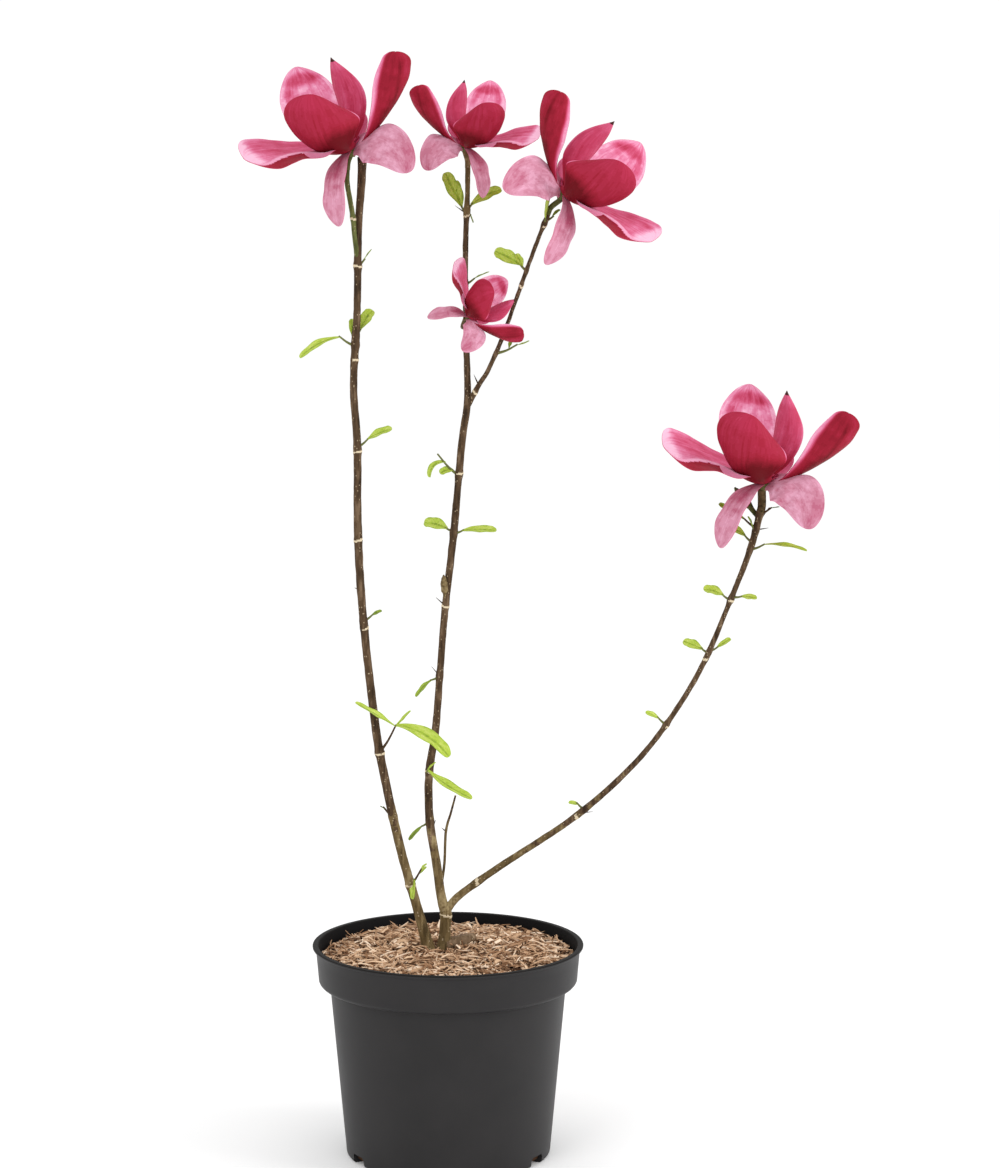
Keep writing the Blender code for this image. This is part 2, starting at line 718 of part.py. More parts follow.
def make_small_bloom():
    """The small bloom stands out in front of the middle stem on a bent stalk."""
    radius = SMALL_BLOOM.stalk / 2
    start = [(Vector(SMALL_BLOOM_ROOT), radius), (Vector(SMALL_BLOOM_BEND), radius)]
    body = make_bloom("bloom_small", SMALL_BLOOM, start)
    paint(cut_clear(body, (SMALL_BLOOM.limb,)), COLOURS["bloom"])


def place_on(limb, height):
    """The point on a limb's axis at a height."""
    path = PATHS[limb]
    for (low, _), (high, _) in zip(path, path[1:]):
        if low.z <= height <= high.z:
            return low.lerp(high, (height - low.z) / (high.z - low.z))
    return path[-1][0]


def make_shoot(name, shoot):
    root = place_on(shoot.limb, shoot.height)
    tip = root + direction(shoot.azimuth, shoot.rise) * shoot.reach
    radius = TWIG_THICKNESS / 2
    twig = tube(name, [(root, 1.3 * radius), (tip, radius)], TWIG_SIDES)
    leaves = []
    for number, leaf in enumerate(shoot.leaves):
        fold = LEAF_FOLD + 8 * (number % 2)
        blade = Blade(
            leaf.azimuth, 0, leaf.rise, leaf.droop, leaf.length, leaf.width,
            fold, leaf.twist, 0, LEAF_BROAD, LEAF_CLAW, LEAF_POINT, 0.0,
        )
        start = root.lerp(tip, leaf.share)
        leaves.append(make_blade(f"{name} leaf {number}", blade, LEAF_ROWS, 2, LEAF_THICKNESS, start))
    body = combine(twig, leaves, "UNION")
    keep_largest_shell(body)
    paint(cut_clear(body, (shoot.limb,)), COLOURS["leaf"])


def make_bud(name, bud):
    root = place_on(bud.limb, bud.height)
    along = direction(bud.azimuth, bud.rise)
    shares = ((0.0, 0.5), (0.35, 0.6), (0.5, 0.95), (0.68, 1.0), (0.88, 0.65), (1.0, 0.2))
    path = [(root + along * bud.reach * share, bud.radius * girth) for share, girth in shares]
    paint(cut_clear(tube(name, path, 2), (bud.limb,)), COLOURS["bud"])


def build():
    make_pot()
    make_root_ball()
    for name in LIMBS:
        make_limb(name)
    for name, bloom in BLOOMS.items():
        make_top_bloom(name, bloom)
    make_small_bloom()
    for name, shoot in SHOOTS.items():
        make_shoot(name, shoot)
    for name, bud in BUDS.items():
        make_bud(name, bud)


clear_scene()
plant = collection("magnolia")
PATHS = {limb: limb_path(limb) for limb in LIMBS}
build()
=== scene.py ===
"""The looks of a young magnolia with five open blooms, growing in a round nursery pot.

Metres, +Z up, +X to the right, -Y to the front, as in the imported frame. Limbs, blooms and
leaves follow the same rule as the solids, carried to finer detail. Directions are an azimuth
(0 right, 90 back, 180 left, 270 front) and a rise, in degrees. A colour that has a place is
dealt out face by face from a short range of plain shades.
"""

from collections import namedtuple
from itertools import product
from math import cos, pi, radians, sin

import bpy
import numpy as np
from mathutils import Matrix, Vector


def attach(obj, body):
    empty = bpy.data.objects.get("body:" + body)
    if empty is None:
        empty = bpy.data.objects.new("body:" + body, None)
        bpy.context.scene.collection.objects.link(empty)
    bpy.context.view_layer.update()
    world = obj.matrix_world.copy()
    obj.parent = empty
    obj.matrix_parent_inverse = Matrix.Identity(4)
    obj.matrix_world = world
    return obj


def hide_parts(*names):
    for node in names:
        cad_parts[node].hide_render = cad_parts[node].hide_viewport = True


BODY = "root"
MILLIMETRE = 0.001
METRE = 1000  # in millimetres
SEED = 11

# Camera and light
CAMERA_PLACE = (0.0441, -3.0, 0.9248)
CAMERA_PITCH = 8.245
LENS = 111.6
SENSOR = 36
WORLD_LIGHT = 1.04

# Pot, from the lip down
POT_HEIGHT = 0.182
LIP_RADIUS = 0.115
LIP_HEIGHT = 0.0026
LIP_ROUND = 0.0011
BAND_TOP_RADIUS = 0.1122
BAND_FOOT_RADIUS = 0.1099
BAND_HEIGHT = 0.0296
SHOULDER = 0.0062
SHOULDER_INSET = 0.0006
BODY_TOP_RADIUS = 0.1001
BODY_FOOT_RADIUS = 0.0871
FOOT_ROUND = 0.0030
WALL = 0.0022
FLOOR = 0.0030
POT_SIDES = 180
NOTCHES = 6
NOTCH_WIDTH = 0.018
NOTCH_HEIGHT = 0.0085
NOTCH_DEPTH = 0.012

# Mulch
GROUND = 0.1755
GROUND_RADIUS = 0.035
MULCH_EDGE = 0.1685
MULCH_RADIUS = 0.1085
CHIPS = 5200
CHIP_LENGTHS = (0.007, 0.020)
CHIP_WIDTHS = (0.0006, 0.0018)
CHIP_DEPTHS = (0.0005, 0.0011)
# The shares of the chips that are broad and that stand up
BROAD_CHIPS = 0.16
BROAD_LENGTHS = (0.006, 0.014)
BROAD_WIDTHS = (0.0022, 0.0040)
STANDING_CHIPS = 0.03
# How high the chips are heaped at the back, and the middle of the stems' feet
HEAP = 0.0032
STEM_FOOT = (-0.008, 0.008)

# Limbs: places of the axis and its diameter, in millimetres, from the foot to the tip
RING_SPACING = 0.0009
LIMB_SIDES = 28
LIMBS = {
    "trunk": (
        (-3, 12, 172.5, 15), (-3, 12, 186, 10.4), (-2, 12, 200, 9.8), (-2, 12, 208, 9.8),
        (-3, 12, 211, 9.8),
    ),
    "left_stem": (
        (-16.5, 8, 172.5, 12.8), (-20, 7, 188, 9.8), (-25.6, 6, 209, 8.5), (-39.8, 2, 262, 8),
        (-51.1, -1, 315, 7.7), (-60.2, -4, 367, 7.4), (-70.8, -11, 470, 6.9), (-74.1, -16, 546, 6.8),
        (-73.8, -21, 609, 6.8), (-76.5, -25, 659, 6.6), (-73, -29, 721, 6.5), (-71.7, -33, 783, 6.4),
        (-68.5, -36, 830, 7), (-68, -37, 846, 8),
    ),
    "middle_stem": (
        (-2.5, 12, 206, 9.6), (-6, 13, 220, 8.3), (-9.8, 14, 247, 7.8), (-15.7, 17, 285, 7.5),
        (-16.1, 19, 324, 7.1), (-10.6, 21, 362, 6.6), (-6.5, 25, 413, 6.3), (-2.4, 28, 464, 6.3),
        (4.8, 32, 527, 6.4), (11.8, 37, 603, 6.2), (16.7, 39, 641, 6), (15.8, 42, 690, 5.2),
        (15.1, 47, 766, 4.6), (16.8, 50, 812, 4.5), (17, 52, 841, 4.6),
    ),
    "side_branch": (
        (17, 39, 636, 4.8), (26.2, 34, 653.8, 4.4), (34.1, 29, 667, 4), (45.3, 20, 693, 3.7),
        (54.5, 11, 719, 3.6), (67.7, -3, 757, 3.5), (76.8, -13, 782, 3.5), (86, -21, 805, 3.8),
    ),
    "right_bough": (
        (-3, 12, 205, 7.6), (9.7, 11, 220.8, 6.6), (46, 8, 248, 6), (104, 3, 288, 5.6),
        (148.4, -2, 328, 5.2), (180.3, -7, 367, 4.8), (211.2, -14, 419, 4.6), (232.5, -20, 471, 4.5),
        (251, -28, 522, 5), (260.2, -33, 560, 6.4),
    ),
    "green_shoot": (
        (-72, -31, 760, 4.4), (-74.5, -37.5, 782, 4.2), (-76, -40.5, 800, 4.3),
        (-80.1, -41.5, 826, 4.2), (-79, -41.5, 842, 4),
    ),
    "dead_twig": (
        (-7, 13, 224, 3), (-3.4, 20, 245, 2.4), (-2, 26, 273, 2.4), (2.3, 30, 289, 2.1),
        (6.2, 33, 303, 1.8),
    ),
    "old_stub": (
        (-3, 11, 177.5, 12.5), (10, 17, 178.5, 12.8), (17, 21.5, 180, 10.8), (22.5, 25, 181.5, 6),
    ),
}

# The slot and sides of the limbs that differ from the rest
LIMB_LOOKS = {
    "side_branch": ("bark", 22),
    "green_shoot": ("green_bark", 20),
    "dead_twig": ("dead_wood", 16),
}

# Heights of the pale rings that old buds left
SCARS = {
    "left_stem": (0.2314, 0.3468, 0.4544, 0.5293, 0.6034, 0.6800, 0.7575),
    "middle_stem": (0.3261, 0.4673, 0.5796, 0.7948),
    "side_branch": (0.6480, 0.7398, 0.7901),
    "right_bough": (0.2328, 0.2924, 0.3716, 0.4290, 0.4789),
    "green_shoot": (0.7966,),
    "trunk": (0.2035,),
}
RING_HEIGHT = 0.0012
RING_RELIEF = 0.00022
# The limb swells by this much at a ring, over this height, and at a shoot's foot
SWELLING = 0.00034
SWELLING_HEIGHT = 0.0026
JOINT_HEIGHT = 0.0032
# The share of its radius that a limb loses, and how rough two of them are
SLIMMER = 0.03
ROUGHNESS = {"old_stub": 3.0, "dead_twig": 0.4}
# How far round a limb its rings reach, as a share, where they don't go all the way
RING_REACH = {"right_bough": 0.30, "side_branch": 0.55, "left_stem": 0.62, "middle_stem": 0.70}
# Pale rough collars: limb, height, half height
COLLARS = (
    ("trunk", 0.211, 0.006), ("middle_stem", 0.214, 0.010), ("right_bough", 0.212, 0.010),
    ("middle_stem", 0.270, 0.006), ("middle_stem", 0.3235, 0.004),
)

# A blade is a tepal or a leaf: a midrib that bends from one direction to another, and a
# width that is broadest part of the way along. Its cup, twist and point shape the rest, and
# its skew sets the tip off to its left.
Blade = namedtuple(
    "Blade",
    "azimuth sweep rise droop length width cup twist untwist broad claw point skew",
)

# One bloom seen from the front, lengths in millimetres. The last three are at its back.
TEPALS = {
    "left": Blade(-167, 28, 6, 28, 88, 53, 13, 0, 33, 0.82, 0.41, 0.70, -0.21),
    "front": Blade(-119, 24, -17, -122, 82, 67, 50, 16, -6, 0.72, 0.35, 0.44, -0.16),
    "tall": Blade(120, -6, 7, -71, 114, 52, 6, -23, 25, 0.70, 0.31, 0.63, 0.25),
    "narrow": Blade(-154, 29, 88, 16, 80, 47, 84, -19, -39, 0.47, 0.21, 1.20, -0.07),
    "spoon": Blade(-10, -82, 37, -40, 101, 35, 56, 19, 30, 0.69, 0.15, 0.42, 0.0),
    "right": Blade(-39, -14, 45, 131, 65, 42, -8, 54, -3, 0.43, 0.32, 0.41, 0.26),
    "hanging": Blade(-118, 6, -25, 87, 73, 27, 6, 1, -27, 0.74, 0.22, 0.57, 0.02),
    "back_right": Blade(40, 0, 8, 4, 56, 34, 20, 0, 0, 0.62, 0.25, 0.55, 0.0),
    "back_left": Blade(150, 0, 4, 2, 74, 34, 14, 0, 0, 0.62, 0.25, 0.55, 0.0),
    "back": Blade(95, 0, 35, -35, 50, 34, 40, 0, 0, 0.60, 0.30, 0.60, 0.0),
}
TEPAL_ROOT = 0.003
TEPAL_ROWS = 84
TEPAL_COLUMNS = 46
TEPAL_THICKNESS = 0.0011
TEPAL_EDGE = 0.0004
HEART_RADIUS = 0.0050
HEART_DROP = 0.005
STAMENS = 46
STAMEN_LENGTH = 0.0105
CARPELS = 40
CARPEL_LENGTH = 0.0035
SPIRAL_TURN = 2.39996

# What a tepal's margins and surface do, in millimetres and degrees. The roll turns the last
# part of a margin, first the one on its left and then the one on its right. Fullness widens a
# margin by a share of the half width: its side, 1 left or -1 right, its place, size and share.
Form = namedtuple("Form", "wave waves left_roll right_roll crinkle notch shift fullness")
PLAIN = Form(1.2, 2.0, 0, 0, 0.25, 0, 0, ())
LEAF_FORM = Form(0.6, 1.6, -4, -4, 0.25, 1.2, 0, ((1, 0.86, 0.07, 0.14), (-1, 0.70, 0.09, -0.12)))
FORMS = {
    "left": Form(0.8, 2.6, 0, 0, 0.40, 0, 0, ((1, 0.28, 0.15, 0.85),)),
    "front": Form(0.7, 2.0, 20, 10, 0.15, 0, 0, ((1, 0.56, 0.22, 0.13), (-1, 0.60, 0.22, -0.06))),
    "tall": Form(0.8, 2.4, 25, 25, 0.35, 0, 0, ((-1, 0.93, 0.10, 0.10),)),
    "narrow": Form(0.8, 2.0, 0, 0, 0.25, 0, 0, ((1, 0.25, 0.20, -0.20),)),
    "spoon": Form(0.7, 2.2, 20, -50, 0.20, 1.0, 0, ((1, 0.96, 0.08, 0.25), (-1, 0.97, 0.06, 0.15))),
    "right": Form(0.9, 3.0, 0, 0, 0.85, 0, 0, ((1, 0.30, 0.14, -0.24), (1, 0.0, 0.10, 0.90))),
    "hanging": Form(0.9, 2.2, 0, 0, 0.60, 0, 0.12, ((-1, 0.36, 0.14, 0.20), (-1, 0.62, 0.10, -0.15))),
}

# The rim of a margin that stands up, as places along and across: its outer face shows beyond, its red
# deepened with painted shade under the tepal's belly
FOLDS = {
    "left": ((0.0, 1.30), (0.16, 1.0), (0.30, 0.75), (0.42, 0.46), (0.5, 0.34), (0.6, 0.32),
             (0.7, 0.36), (0.8, 0.44), (0.9, 0.60), (1.0, 0.95)),
}
FOLD_HEIGHT = 0.0018
FOLD_WIDTH = 0.16
FOLD_START = 0.49

# How deep a tepal's colour is, from 0, pale pink, to 1, the darkest red: a level, then what
# streaks, mottling, the margins and the root add, and marks. A mark is a place along and
# across, its size each way, and what it adds.
Look = namedtuple("Look", "level streak mottle edge root marks")
INNER = Look(0.24, 0.08, 0.05, -0.10, 0.60, ((0.55, 0.0, 0.30, 3.0, 0.10),))
OUTER = Look(0.68, 0.05, 0.03, 0.02, 0.12, ())
INNER_LOOKS = {
    "tall": Look(0.15, 0.09, 0.09, -0.10, 0.10, (
        (0.905, -0.05, 0.050, 0.85, 0.30), (0.82, 0.62, 0.10, 0.18, 0.16),
        (0.86, -0.6, 0.05, 0.3, 0.10), (0.70, 0.0, 0.12, 0.7, 0.03),
    )),
    "left": Look(0.32, 0.12, 0.06, -0.08, 0.15, (
        (0.97, 0.0, 0.11, 3.0, -0.36), (0.58, -0.5, 0.25, 0.5, 0.10), (0.80, 0.0, 0.08, 0.4, -0.08),
    )),
    "right": Look(0.13, 0.06, 0.14, -0.03, 0.04, (
        (0.90, 0.5, 0.22, 0.7, 0.14), (0.60, -0.8, 0.25, 0.3, 0.06), (0.30, 0.6, 0.2, 0.4, -0.04),
    )),
    "hanging": Look(0.20, 0.09, 0.08, -0.06, 0.08, (
        (0.30, -0.3, 0.18, 0.7, 0.16), (0.78, 0.0, 0.2, 0.5, -0.03), (0.55, 0.2, 0.03, 0.4, 0.10),
    )),
}
OUTER_LOOKS = {
    # In the front tepal's outer look, the first mark is painted shade: it deepens the lower part of the
    # tepal
    "front": Look(0.69, 0.06, 0.02, 0.0, 0.04, (
        (0.36, 0.34, 0.24, 0.75, 0.34), (0.93, -0.3, 0.10, 0.9, -0.06), (0.70, 1.0, 0.16, 0.05, -0.50),
        (0.50, -0.7, 0.2, 0.3, 0.05),
    )),
    "narrow": Look(0.45, 0.08, 0.04, -0.02, 0.10, (
        (0.55, 1.0, 0.35, 0.08, -0.16), (0.60, 0.45, 0.20, 0.25, 0.05), (0.10, 0.0, 0.26, 3.0, 0.36),
        (0.93, 0.0, 0.08, 3.0, -0.10),
    )),
    "spoon": Look(0.78, 0.06, 0.05, 0.0, 0.0, (
        (0.62, -1.0, 0.48, 0.28, -0.66), (0.76, 0.22, 0.22, 0.11, 0.12), (0.84, 0.68, 0.15, 0.22, -0.08),
        (0.36, 0.4, 0.22, 0.8, 0.22), (0.97, 0.1, 0.05, 0.6, -0.04),
    )),
}
# How deep the colour of some rims is, how much deeper than its inner face any other rim is, and
# where the narrow tepal's dark tip starts
RIM_DEPTHS = {"front": 0.95, "spoon": 0.90, "narrow": 0.70}
RIM_DEEPER = 0.15
DARK_TIP = 0.955
TEPAL_SHADES = (
    (0.00, (0.84, 0.47, 0.62)),
    (0.15, (0.71, 0.24, 0.39)),
    (0.30, (0.61, 0.115, 0.225)),
    (0.45, (0.50, 0.055, 0.125)),
    (0.60, (0.39, 0.025, 0.064)),
    (0.75, (0.30, 0.0125, 0.031)),
    (0.88, (0.215, 0.0080, 0.019)),
    (1.00, (0.130, 0.0040, 0.0086)),
)
TEPAL_STEPS = 26
# The duller inner faces of the tepals that hang
DUSTY = ("right", "hanging")
DUSTY_SHADES = (
    (0.00, (0.72, 0.37, 0.50)),
    (0.20, (0.55, 0.22, 0.31)),
    (0.40, (0.41, 0.085, 0.155)),
    (1.00, (0.25, 0.020, 0.045)),
)
DUSTY_STEPS = 16

# A bloom leans forward or back by its tilt, turns by its yaw, and rolls towards the right. Its
# place and its stalk's thickness are in millimetres. The small one has no limb of its own.
Bloom = namedtuple("Bloom", "limb place yaw tilt roll scale mirrored stalk")
BLOOMS = {
    "bloom_left": Bloom("green_shoot", (-77.2, -41.5, 851.2), 0, 0, 0, 0.96, False, 3.8),
    "bloom_middle": Bloom("middle_stem", (14.1, 52, 852), 3.1, 0, -11.4, 0.70, True, 4.8),
    "bloom_side": Bloom("side_branch", (95.6, -23.5, 815.1), 1, 0, 23.3, 0.912, True, 4.5),
    "bloom_right": Bloom("right_bough", (261.8, -34.5, 578.2), -6.9, -6.3, 24.5, 0.991, False, 6.8),
    "bloom_small": Bloom("", (17.7, -6, 713.6), -1.3, -6.1, 80.6, 0.525, False, 3.2),
}
# The bark on each bloom's stalk, 0 brown, 1 olive, 2 green, and how light it is
STALK_BARKS = ((2, 0.40), (1, 0.50), (2, 0.45), (1, 0.14), (1, 0.30))
SMALL_BLOOM_STALK = ((15.5, 43.5, 703), (14.5, 27, 703), (12.8, 10, 705))

# Leaf shoots, numbered along each limb, in millimetres and degrees: the height where a shoot
# leaves its limb, its twig's direction and reach, and its leaves. A leaf has its share of the
# way along the twig, its direction, droop, length, width and twist.
Leaf = namedtuple("Leaf", "share azimuth rise droop length width twist")
Shoot = namedtuple("Shoot", "limb height azimuth rise reach leaves")
TWIG_THICKNESS = 0.0018
TWIG_TAPER = (1.6, 1.05, 0.8)
LEAF_THICKNESS = 0.0005
LEAF_ROWS = 26
LEAF_COLUMNS = 12
LEAF_FOLD = 26
LEAF_CREASE = 0.55
LEAF_BROAD = 0.52
LEAF_CLAW = 0.20
LEAF_POINT = 0.32
NARROWEST = 0.0005
SHOOT_ROWS = {
    "left_stem": (
        (231, -20, 57, 18, (0.9, 20, 50, 20, 8, 4, 0),
         (0.6, 40, 20, -20, 12, 4, 0), (0.4, -105, -52, 30, 18, 6.6, 30)),
        (291, 170, 45, 12, (0.7, 175, 30, 0, 6, 2.6, 0)),
        (347, -40, 54, 32, (0.95, 203, 33, 2, 42, 9.2, -28),
         (0.85, 10, 46, 0, 21, 4, 20), (0.98, -25, 0, 50, 56, 14, 35)),
        (460, 15, 34, 10, (0.8, 15, 28, 10, 10, 3.6, 40)),
        (607, -15, 38, 12, (0.9, -20, 32, 18, 24, 9.4, 45)),
        (692, 190, 32, 16, (0.9, 200, -6, 38, 39, 8.5, -30)),
        (693, 160, 70, 10, (0.7, 120, 84, 0, 14, 6, -20)),
        (700, 50, 45, 11, (0.7, 30, 62, 20, 19, 11, 40)),
        (757, 20, 45, 9, (0.7, 15, 52, 0, 12, 2.4, 0)),
    ),
    "middle_stem": (
        (284, 195, -30, 9, (0.8, 195, -40, 10, 17, 4.8, -30)),
        (333, -112, -35, 10, (0.7, -20, -39, -20, 46, 10.5, 25), (0.7, -30, 42, 0, 11, 4, 0)),
        (408, 195, -20, 9, (0.7, 190, -34, 22, 21, 5.6, -30)),
        (529, -22, 20, 10, (0.8, -20, 8, 12, 31, 9.2, 35)),
        (530, 160, 20, 9, (0.7, 165, 24, 25, 21, 12.5, -45)),
        (577, 180, 46, 26, (0.25, 190, 12, 50, 12, 8.5, -40), (0.62, 185, 8, 105, 21, 8, -30)),
        (738, 30, 28, 10, (0.8, 22, 26, 8, 16, 3.2, 0)),
        (800, -25, -50, 6, (0.7, -20, -68, 0, 8, 2.6, 0)),
        (797, 165, 55, 10, (0.8, 165, 60, -6, 31, 14, -48), (0.7, 120, 70, 10, 24, 7, 0)),
        (800, 20, 48, 8, (0.7, 10, 38, 24, 29, 11, 52)),
    ),
    "side_branch": (
        (681, 10, 22, 20, (0.95, 20, 0, -30, 12, 3.4, 0), (0.6, 60, 50, 0, 10, 4, 0)),
        (752, 170, 45, 9, (0.8, 172, 32, 10, 24, 12.4, -62), (0.5, 160, 66, 10, 12, 6.6, -50)),
        (791, -75, 45, 7, (0.7, -35, 76, 0, 20, 10.5, 45)),
        (794, 5, 30, 8, (0.8, 10, 50, 20, 9, 4.6, 20)),
    ),
    "right_bough": (
        (297, 160, 40, 9, (0.7, 165, 10, 0, 9, 5, -30)),
        (372, 185, 42, 10, (0.8, 190, 30, 10, 13, 6.4, -40)),
        (434, 165, 32, 8, (0.7, 165, 20, 0, 18, 10, -40)),
        (436, 25, 20, 9, (0.8, 25, 27, 0, 15, 5.2, 40)),
        (480, 190, 34, 9, (0.8, 190, 30, 26, 18, 12, -35)),
        (482, -12, 5, 9, (0.8, -15, 0, 10, 14, 6.6, 35)),
        (523, -10, 22, 13, (0.9, -14, 6, 25, 37, 5.6, 25)),
        (529, 165, 42, 10, (0.8, 165, 34, 10, 16, 8, -40)),
        (538, 225, 55, 8, (0.7, 205, 60, 0, 10, 6, -30)),
        (541, 145, 30, 14, (0.9, 150, 26, 0, 27, 6, -40)),
        (553, -25, 30, 12, (0.9, -25, 10, 0, 8, 3, 0)),
    ),
}
LEAF_SHADES = (
    (0.0, (0.52, 0.60, 0.14)),
    (0.3, (0.37, 0.50, 0.045)),
    (0.6, (0.20, 0.29, 0.028)),
    (1.0, (0.070, 0.095, 0.015)),
)
# How much darker the leaves of some shoots are, and which twigs are brown
LEAF_TONES = {
    "leaf_middle_1": 0.38, "leaf_middle_3": 0.24, "leaf_left_2": 0.55, "leaf_left_4": 0.40,
    "leaf_left_9": 0.30, "leaf_middle_7": 0.35, "leaf_middle_8": 0.45, "leaf_side_1": 0.30,
    "leaf_side_4": 0.25, "leaf_right_9": 0.30, "leaf_right_10": 0.28, "leaf_right_11": 0.80,
}
BROWN_TWIGS = ("leaf_left_1", "leaf_left_2", "leaf_left_3", "leaf_right_10", "leaf_right_11")
LEAF_STEPS = 12

# The fat bud pressed to the middle stem, and the dark one behind the right bloom
Bud = namedtuple("Bud", "limb height azimuth rise reach radius")
BUDS = {
    "bud_middle": Bud("middle_stem", 0.4695, 246, 80, 0.025, 0.0031),
    "bud_right": Bud("right_bough", 0.550, 150, 47, 0.033, 0.0036),
}

# Small dead spurs: limb, height, azimuth, rise, length and diameter
SPURS = (
    ("middle_stem", 0.797, 175, 35, 0.012, 0.0011),
    ("middle_stem", 0.4675, 178, 42, 0.011, 0.0012),
    ("middle_stem", 0.408, 165, 48, 0.011, 0.0010),
    ("right_bough", 0.294, -20, 10, 0.012, 0.0011),
    ("right_bough", 0.548, 150, 64, 0.020, 0.0015),
    ("dead_twig", 0.273, 170, 40, 0.005, 0.0012),
    ("left_stem", 0.486, 160, 20, 0.006, 0.0014),
    ("side_branch", 0.654, 150, 62, 0.010, 0.0013),
    ("middle_stem", 0.2745, 20, 68, 0.011, 0.0016),
    ("right_bough", 0.546, 40, 42, 0.018, 0.0017),
    ("right_bough", 0.540, 25, 5, 0.012, 0.0012),
)

# Bark, from dark brown to light, then olive, and the marks on it
BROWN_SHADES = (
    (0.0, (0.016, 0.009, 0.005)),
    (0.5, (0.085, 0.051, 0.027)),
    (1.0, (0.230, 0.155, 0.095)),
)
OLIVE_SHADES = (
    (0.0, (0.035, 0.022, 0.007)),
    (0.5, (0.148, 0.101, 0.044)),
    (1.0, (0.320, 0.245, 0.125)),
)
GREEN_SHADES = (
    (0.0, (0.028, 0.034, 0.008)),
    (0.5, (0.095, 0.105, 0.028)),
    (1.0, (0.220, 0.240, 0.080)),
)
WOOD_STEPS = 9
SCAR_COLOUR = (0.62, 0.52, 0.36)
LENTICEL_COLOUR = (0.36, 0.28, 0.18)
LENTICELS = 0.016
# The pot's plastic from its plain to its dusty parts, and how rough it is
POT_TONES = ((0.35, (0.0165, 0.0155, 0.0160)), (0.75, (0.0215, 0.0200, 0.0205)))
POT_ROUGHNESS = (0.42, 0.58)
SOIL_COLOUR = (0.060, 0.030, 0.016)
CHIP_SHADES = (
    (0.0, (0.075, 0.036, 0.019)),
    (0.3, (0.330, 0.178, 0.095)),
    (0.7, (0.700, 0.475, 0.300)),
    (1.0, (0.880, 0.700, 0.530)),
)
CHIP_STEPS = 9


def grain(points, size, seed=0):
    """Smooth noise from -1 to 1 at each point, the same each run."""
    spots = np.asarray(points, float) / size
    cells = np.floor(spots).astype(np.int64)
    share = spots - cells
    share = share * share * (3 - 2 * share)
    total = np.zeros(spots.shape[:-1])
    for corner in product((0, 1), repeat=3):
        spot = cells + np.array(corner)
        mixed = spot[..., 0] * 73856093 ^ spot[..., 1] * 19349663 ^ spot[..., 2] * 83492791
        mixed = (mixed + seed * 668265263) & 0x7FFFFFFF
        mixed = (mixed ^ mixed >> 13) * 1274126177 & 0x7FFFFFFF
        mixed = (mixed ^ mixed >> 16) & 0xFFFF
        weight = np.prod(np.where(corner, share, 1 - share), axis=-1)
        total += weight * (mixed / 32767.5 - 1)
    return total


def direction(azimuth, rise):
    a = radians(azimuth)
    e = radians(rise)
    return Vector((cos(e) * cos(a), cos(e) * sin(a), sin(e)))


def noise(material, scale, detail):
    """A noise texture over the object's own places."""
    nodes = material.node_tree.nodes
    place = nodes.new("ShaderNodeTexCoord")
    texture = nodes.new("ShaderNodeTexNoise")
    texture.inputs["Scale"].default_value = scale
    texture.inputs["Detail"].default_value = detail
    material.node_tree.links.new(place.outputs["Object"], texture.inputs["Vector"])
    return texture.outputs["Fac"]


def add_relief(material, height, strength, distance):
    """A fine relief in a material's surface, from a texture's height."""
    nodes = material.node_tree.nodes
    links = material.node_tree.links
    relief = nodes.new("ShaderNodeBump")
    relief.inputs["Strength"].default_value = strength
    relief.inputs["Distance"].default_value = distance
    links.new(height, relief.inputs["Height"])
    links.new(relief.outputs["Normal"], nodes["Principled BSDF"].inputs["Normal"])


def plain_material(name, colour, roughness, gloss, bump_size=0.0, bump=0.0):
    """A plain base colour, with a fine grain in its surface where a bump size is given."""
    material = bpy.data.materials.new(name)
    material.use_nodes = True
    shader = material.node_tree.nodes["Principled BSDF"]
    shader.inputs["Base Color"].default_value = (*colour, 1.0)
    shader.inputs["Roughness"].default_value = roughness
    shader.inputs["Specular IOR Level"].default_value = gloss
    if bump:
        add_relief(material, noise(material, 1 / bump_size, 3.0), bump, bump_size / 4)
    return material


def shade_range(name, stops, steps, roughness, gloss, bump_size, bump):
    """Plain materials in even steps along a range of colours."""
    at = np.array([stop for stop, _ in stops])
    colours = np.array([colour for _, colour in stops])
    materials = []
    for step in range(steps):
        share = step / (steps - 1)
        colour = [float(np.interp(share, at, colours[:, channel])) for channel in range(3)]
        materials.append(
            plain_material(f"{name} {step + 1}", colour, roughness, gloss, bump_size, bump)
        )
    return materials


def step_of(depth, steps):
    return np.clip(np.rint(np.asarray(depth) * (steps - 1)), 0, steps - 1).astype(int)


class Gathered:
    """Points, faces and the shade of each face, gathered for one joined piece."""

    def __init__(self):
        self.points = []
        self.faces = []
        self.shades = []
        self.count = 0

    def add(self, points, faces, shades):
        points = np.asarray(points, float).reshape(-1, 3)
        faces = np.asarray(faces, int)
        self.points.append(points)
        self.faces.append(faces + self.count)
        self.shades.append(np.broadcast_to(shades, len(faces)).astype(int))
        self.count += len(points)

    def mesh(self, name):
        mesh = bpy.data.meshes.new(name)
        faces = [face for group in self.faces for face in group.tolist()]
        mesh.from_pydata(np.concatenate(self.points).tolist(), [], faces)
        return mesh

    def piece(self, name, materials, nodes=(), sharp=50):
        mesh = self.mesh(name)
        for material in materials:
            mesh.materials.append(material)
        mesh.polygons.foreach_set("material_index", np.concatenate(self.shades))
        return finish_piece(bpy.data.objects.new(name, mesh), nodes, sharp)


def finish_piece(obj, nodes=(), sharp=50):
    if not obj.users_collection:
        bpy.context.scene.collection.objects.link(obj)
    obj.data.shade_smooth()
    obj.data.set_sharp_from_angle(angle=radians(sharp))
    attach(obj, BODY)
    if nodes:
        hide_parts(*nodes)
    return obj


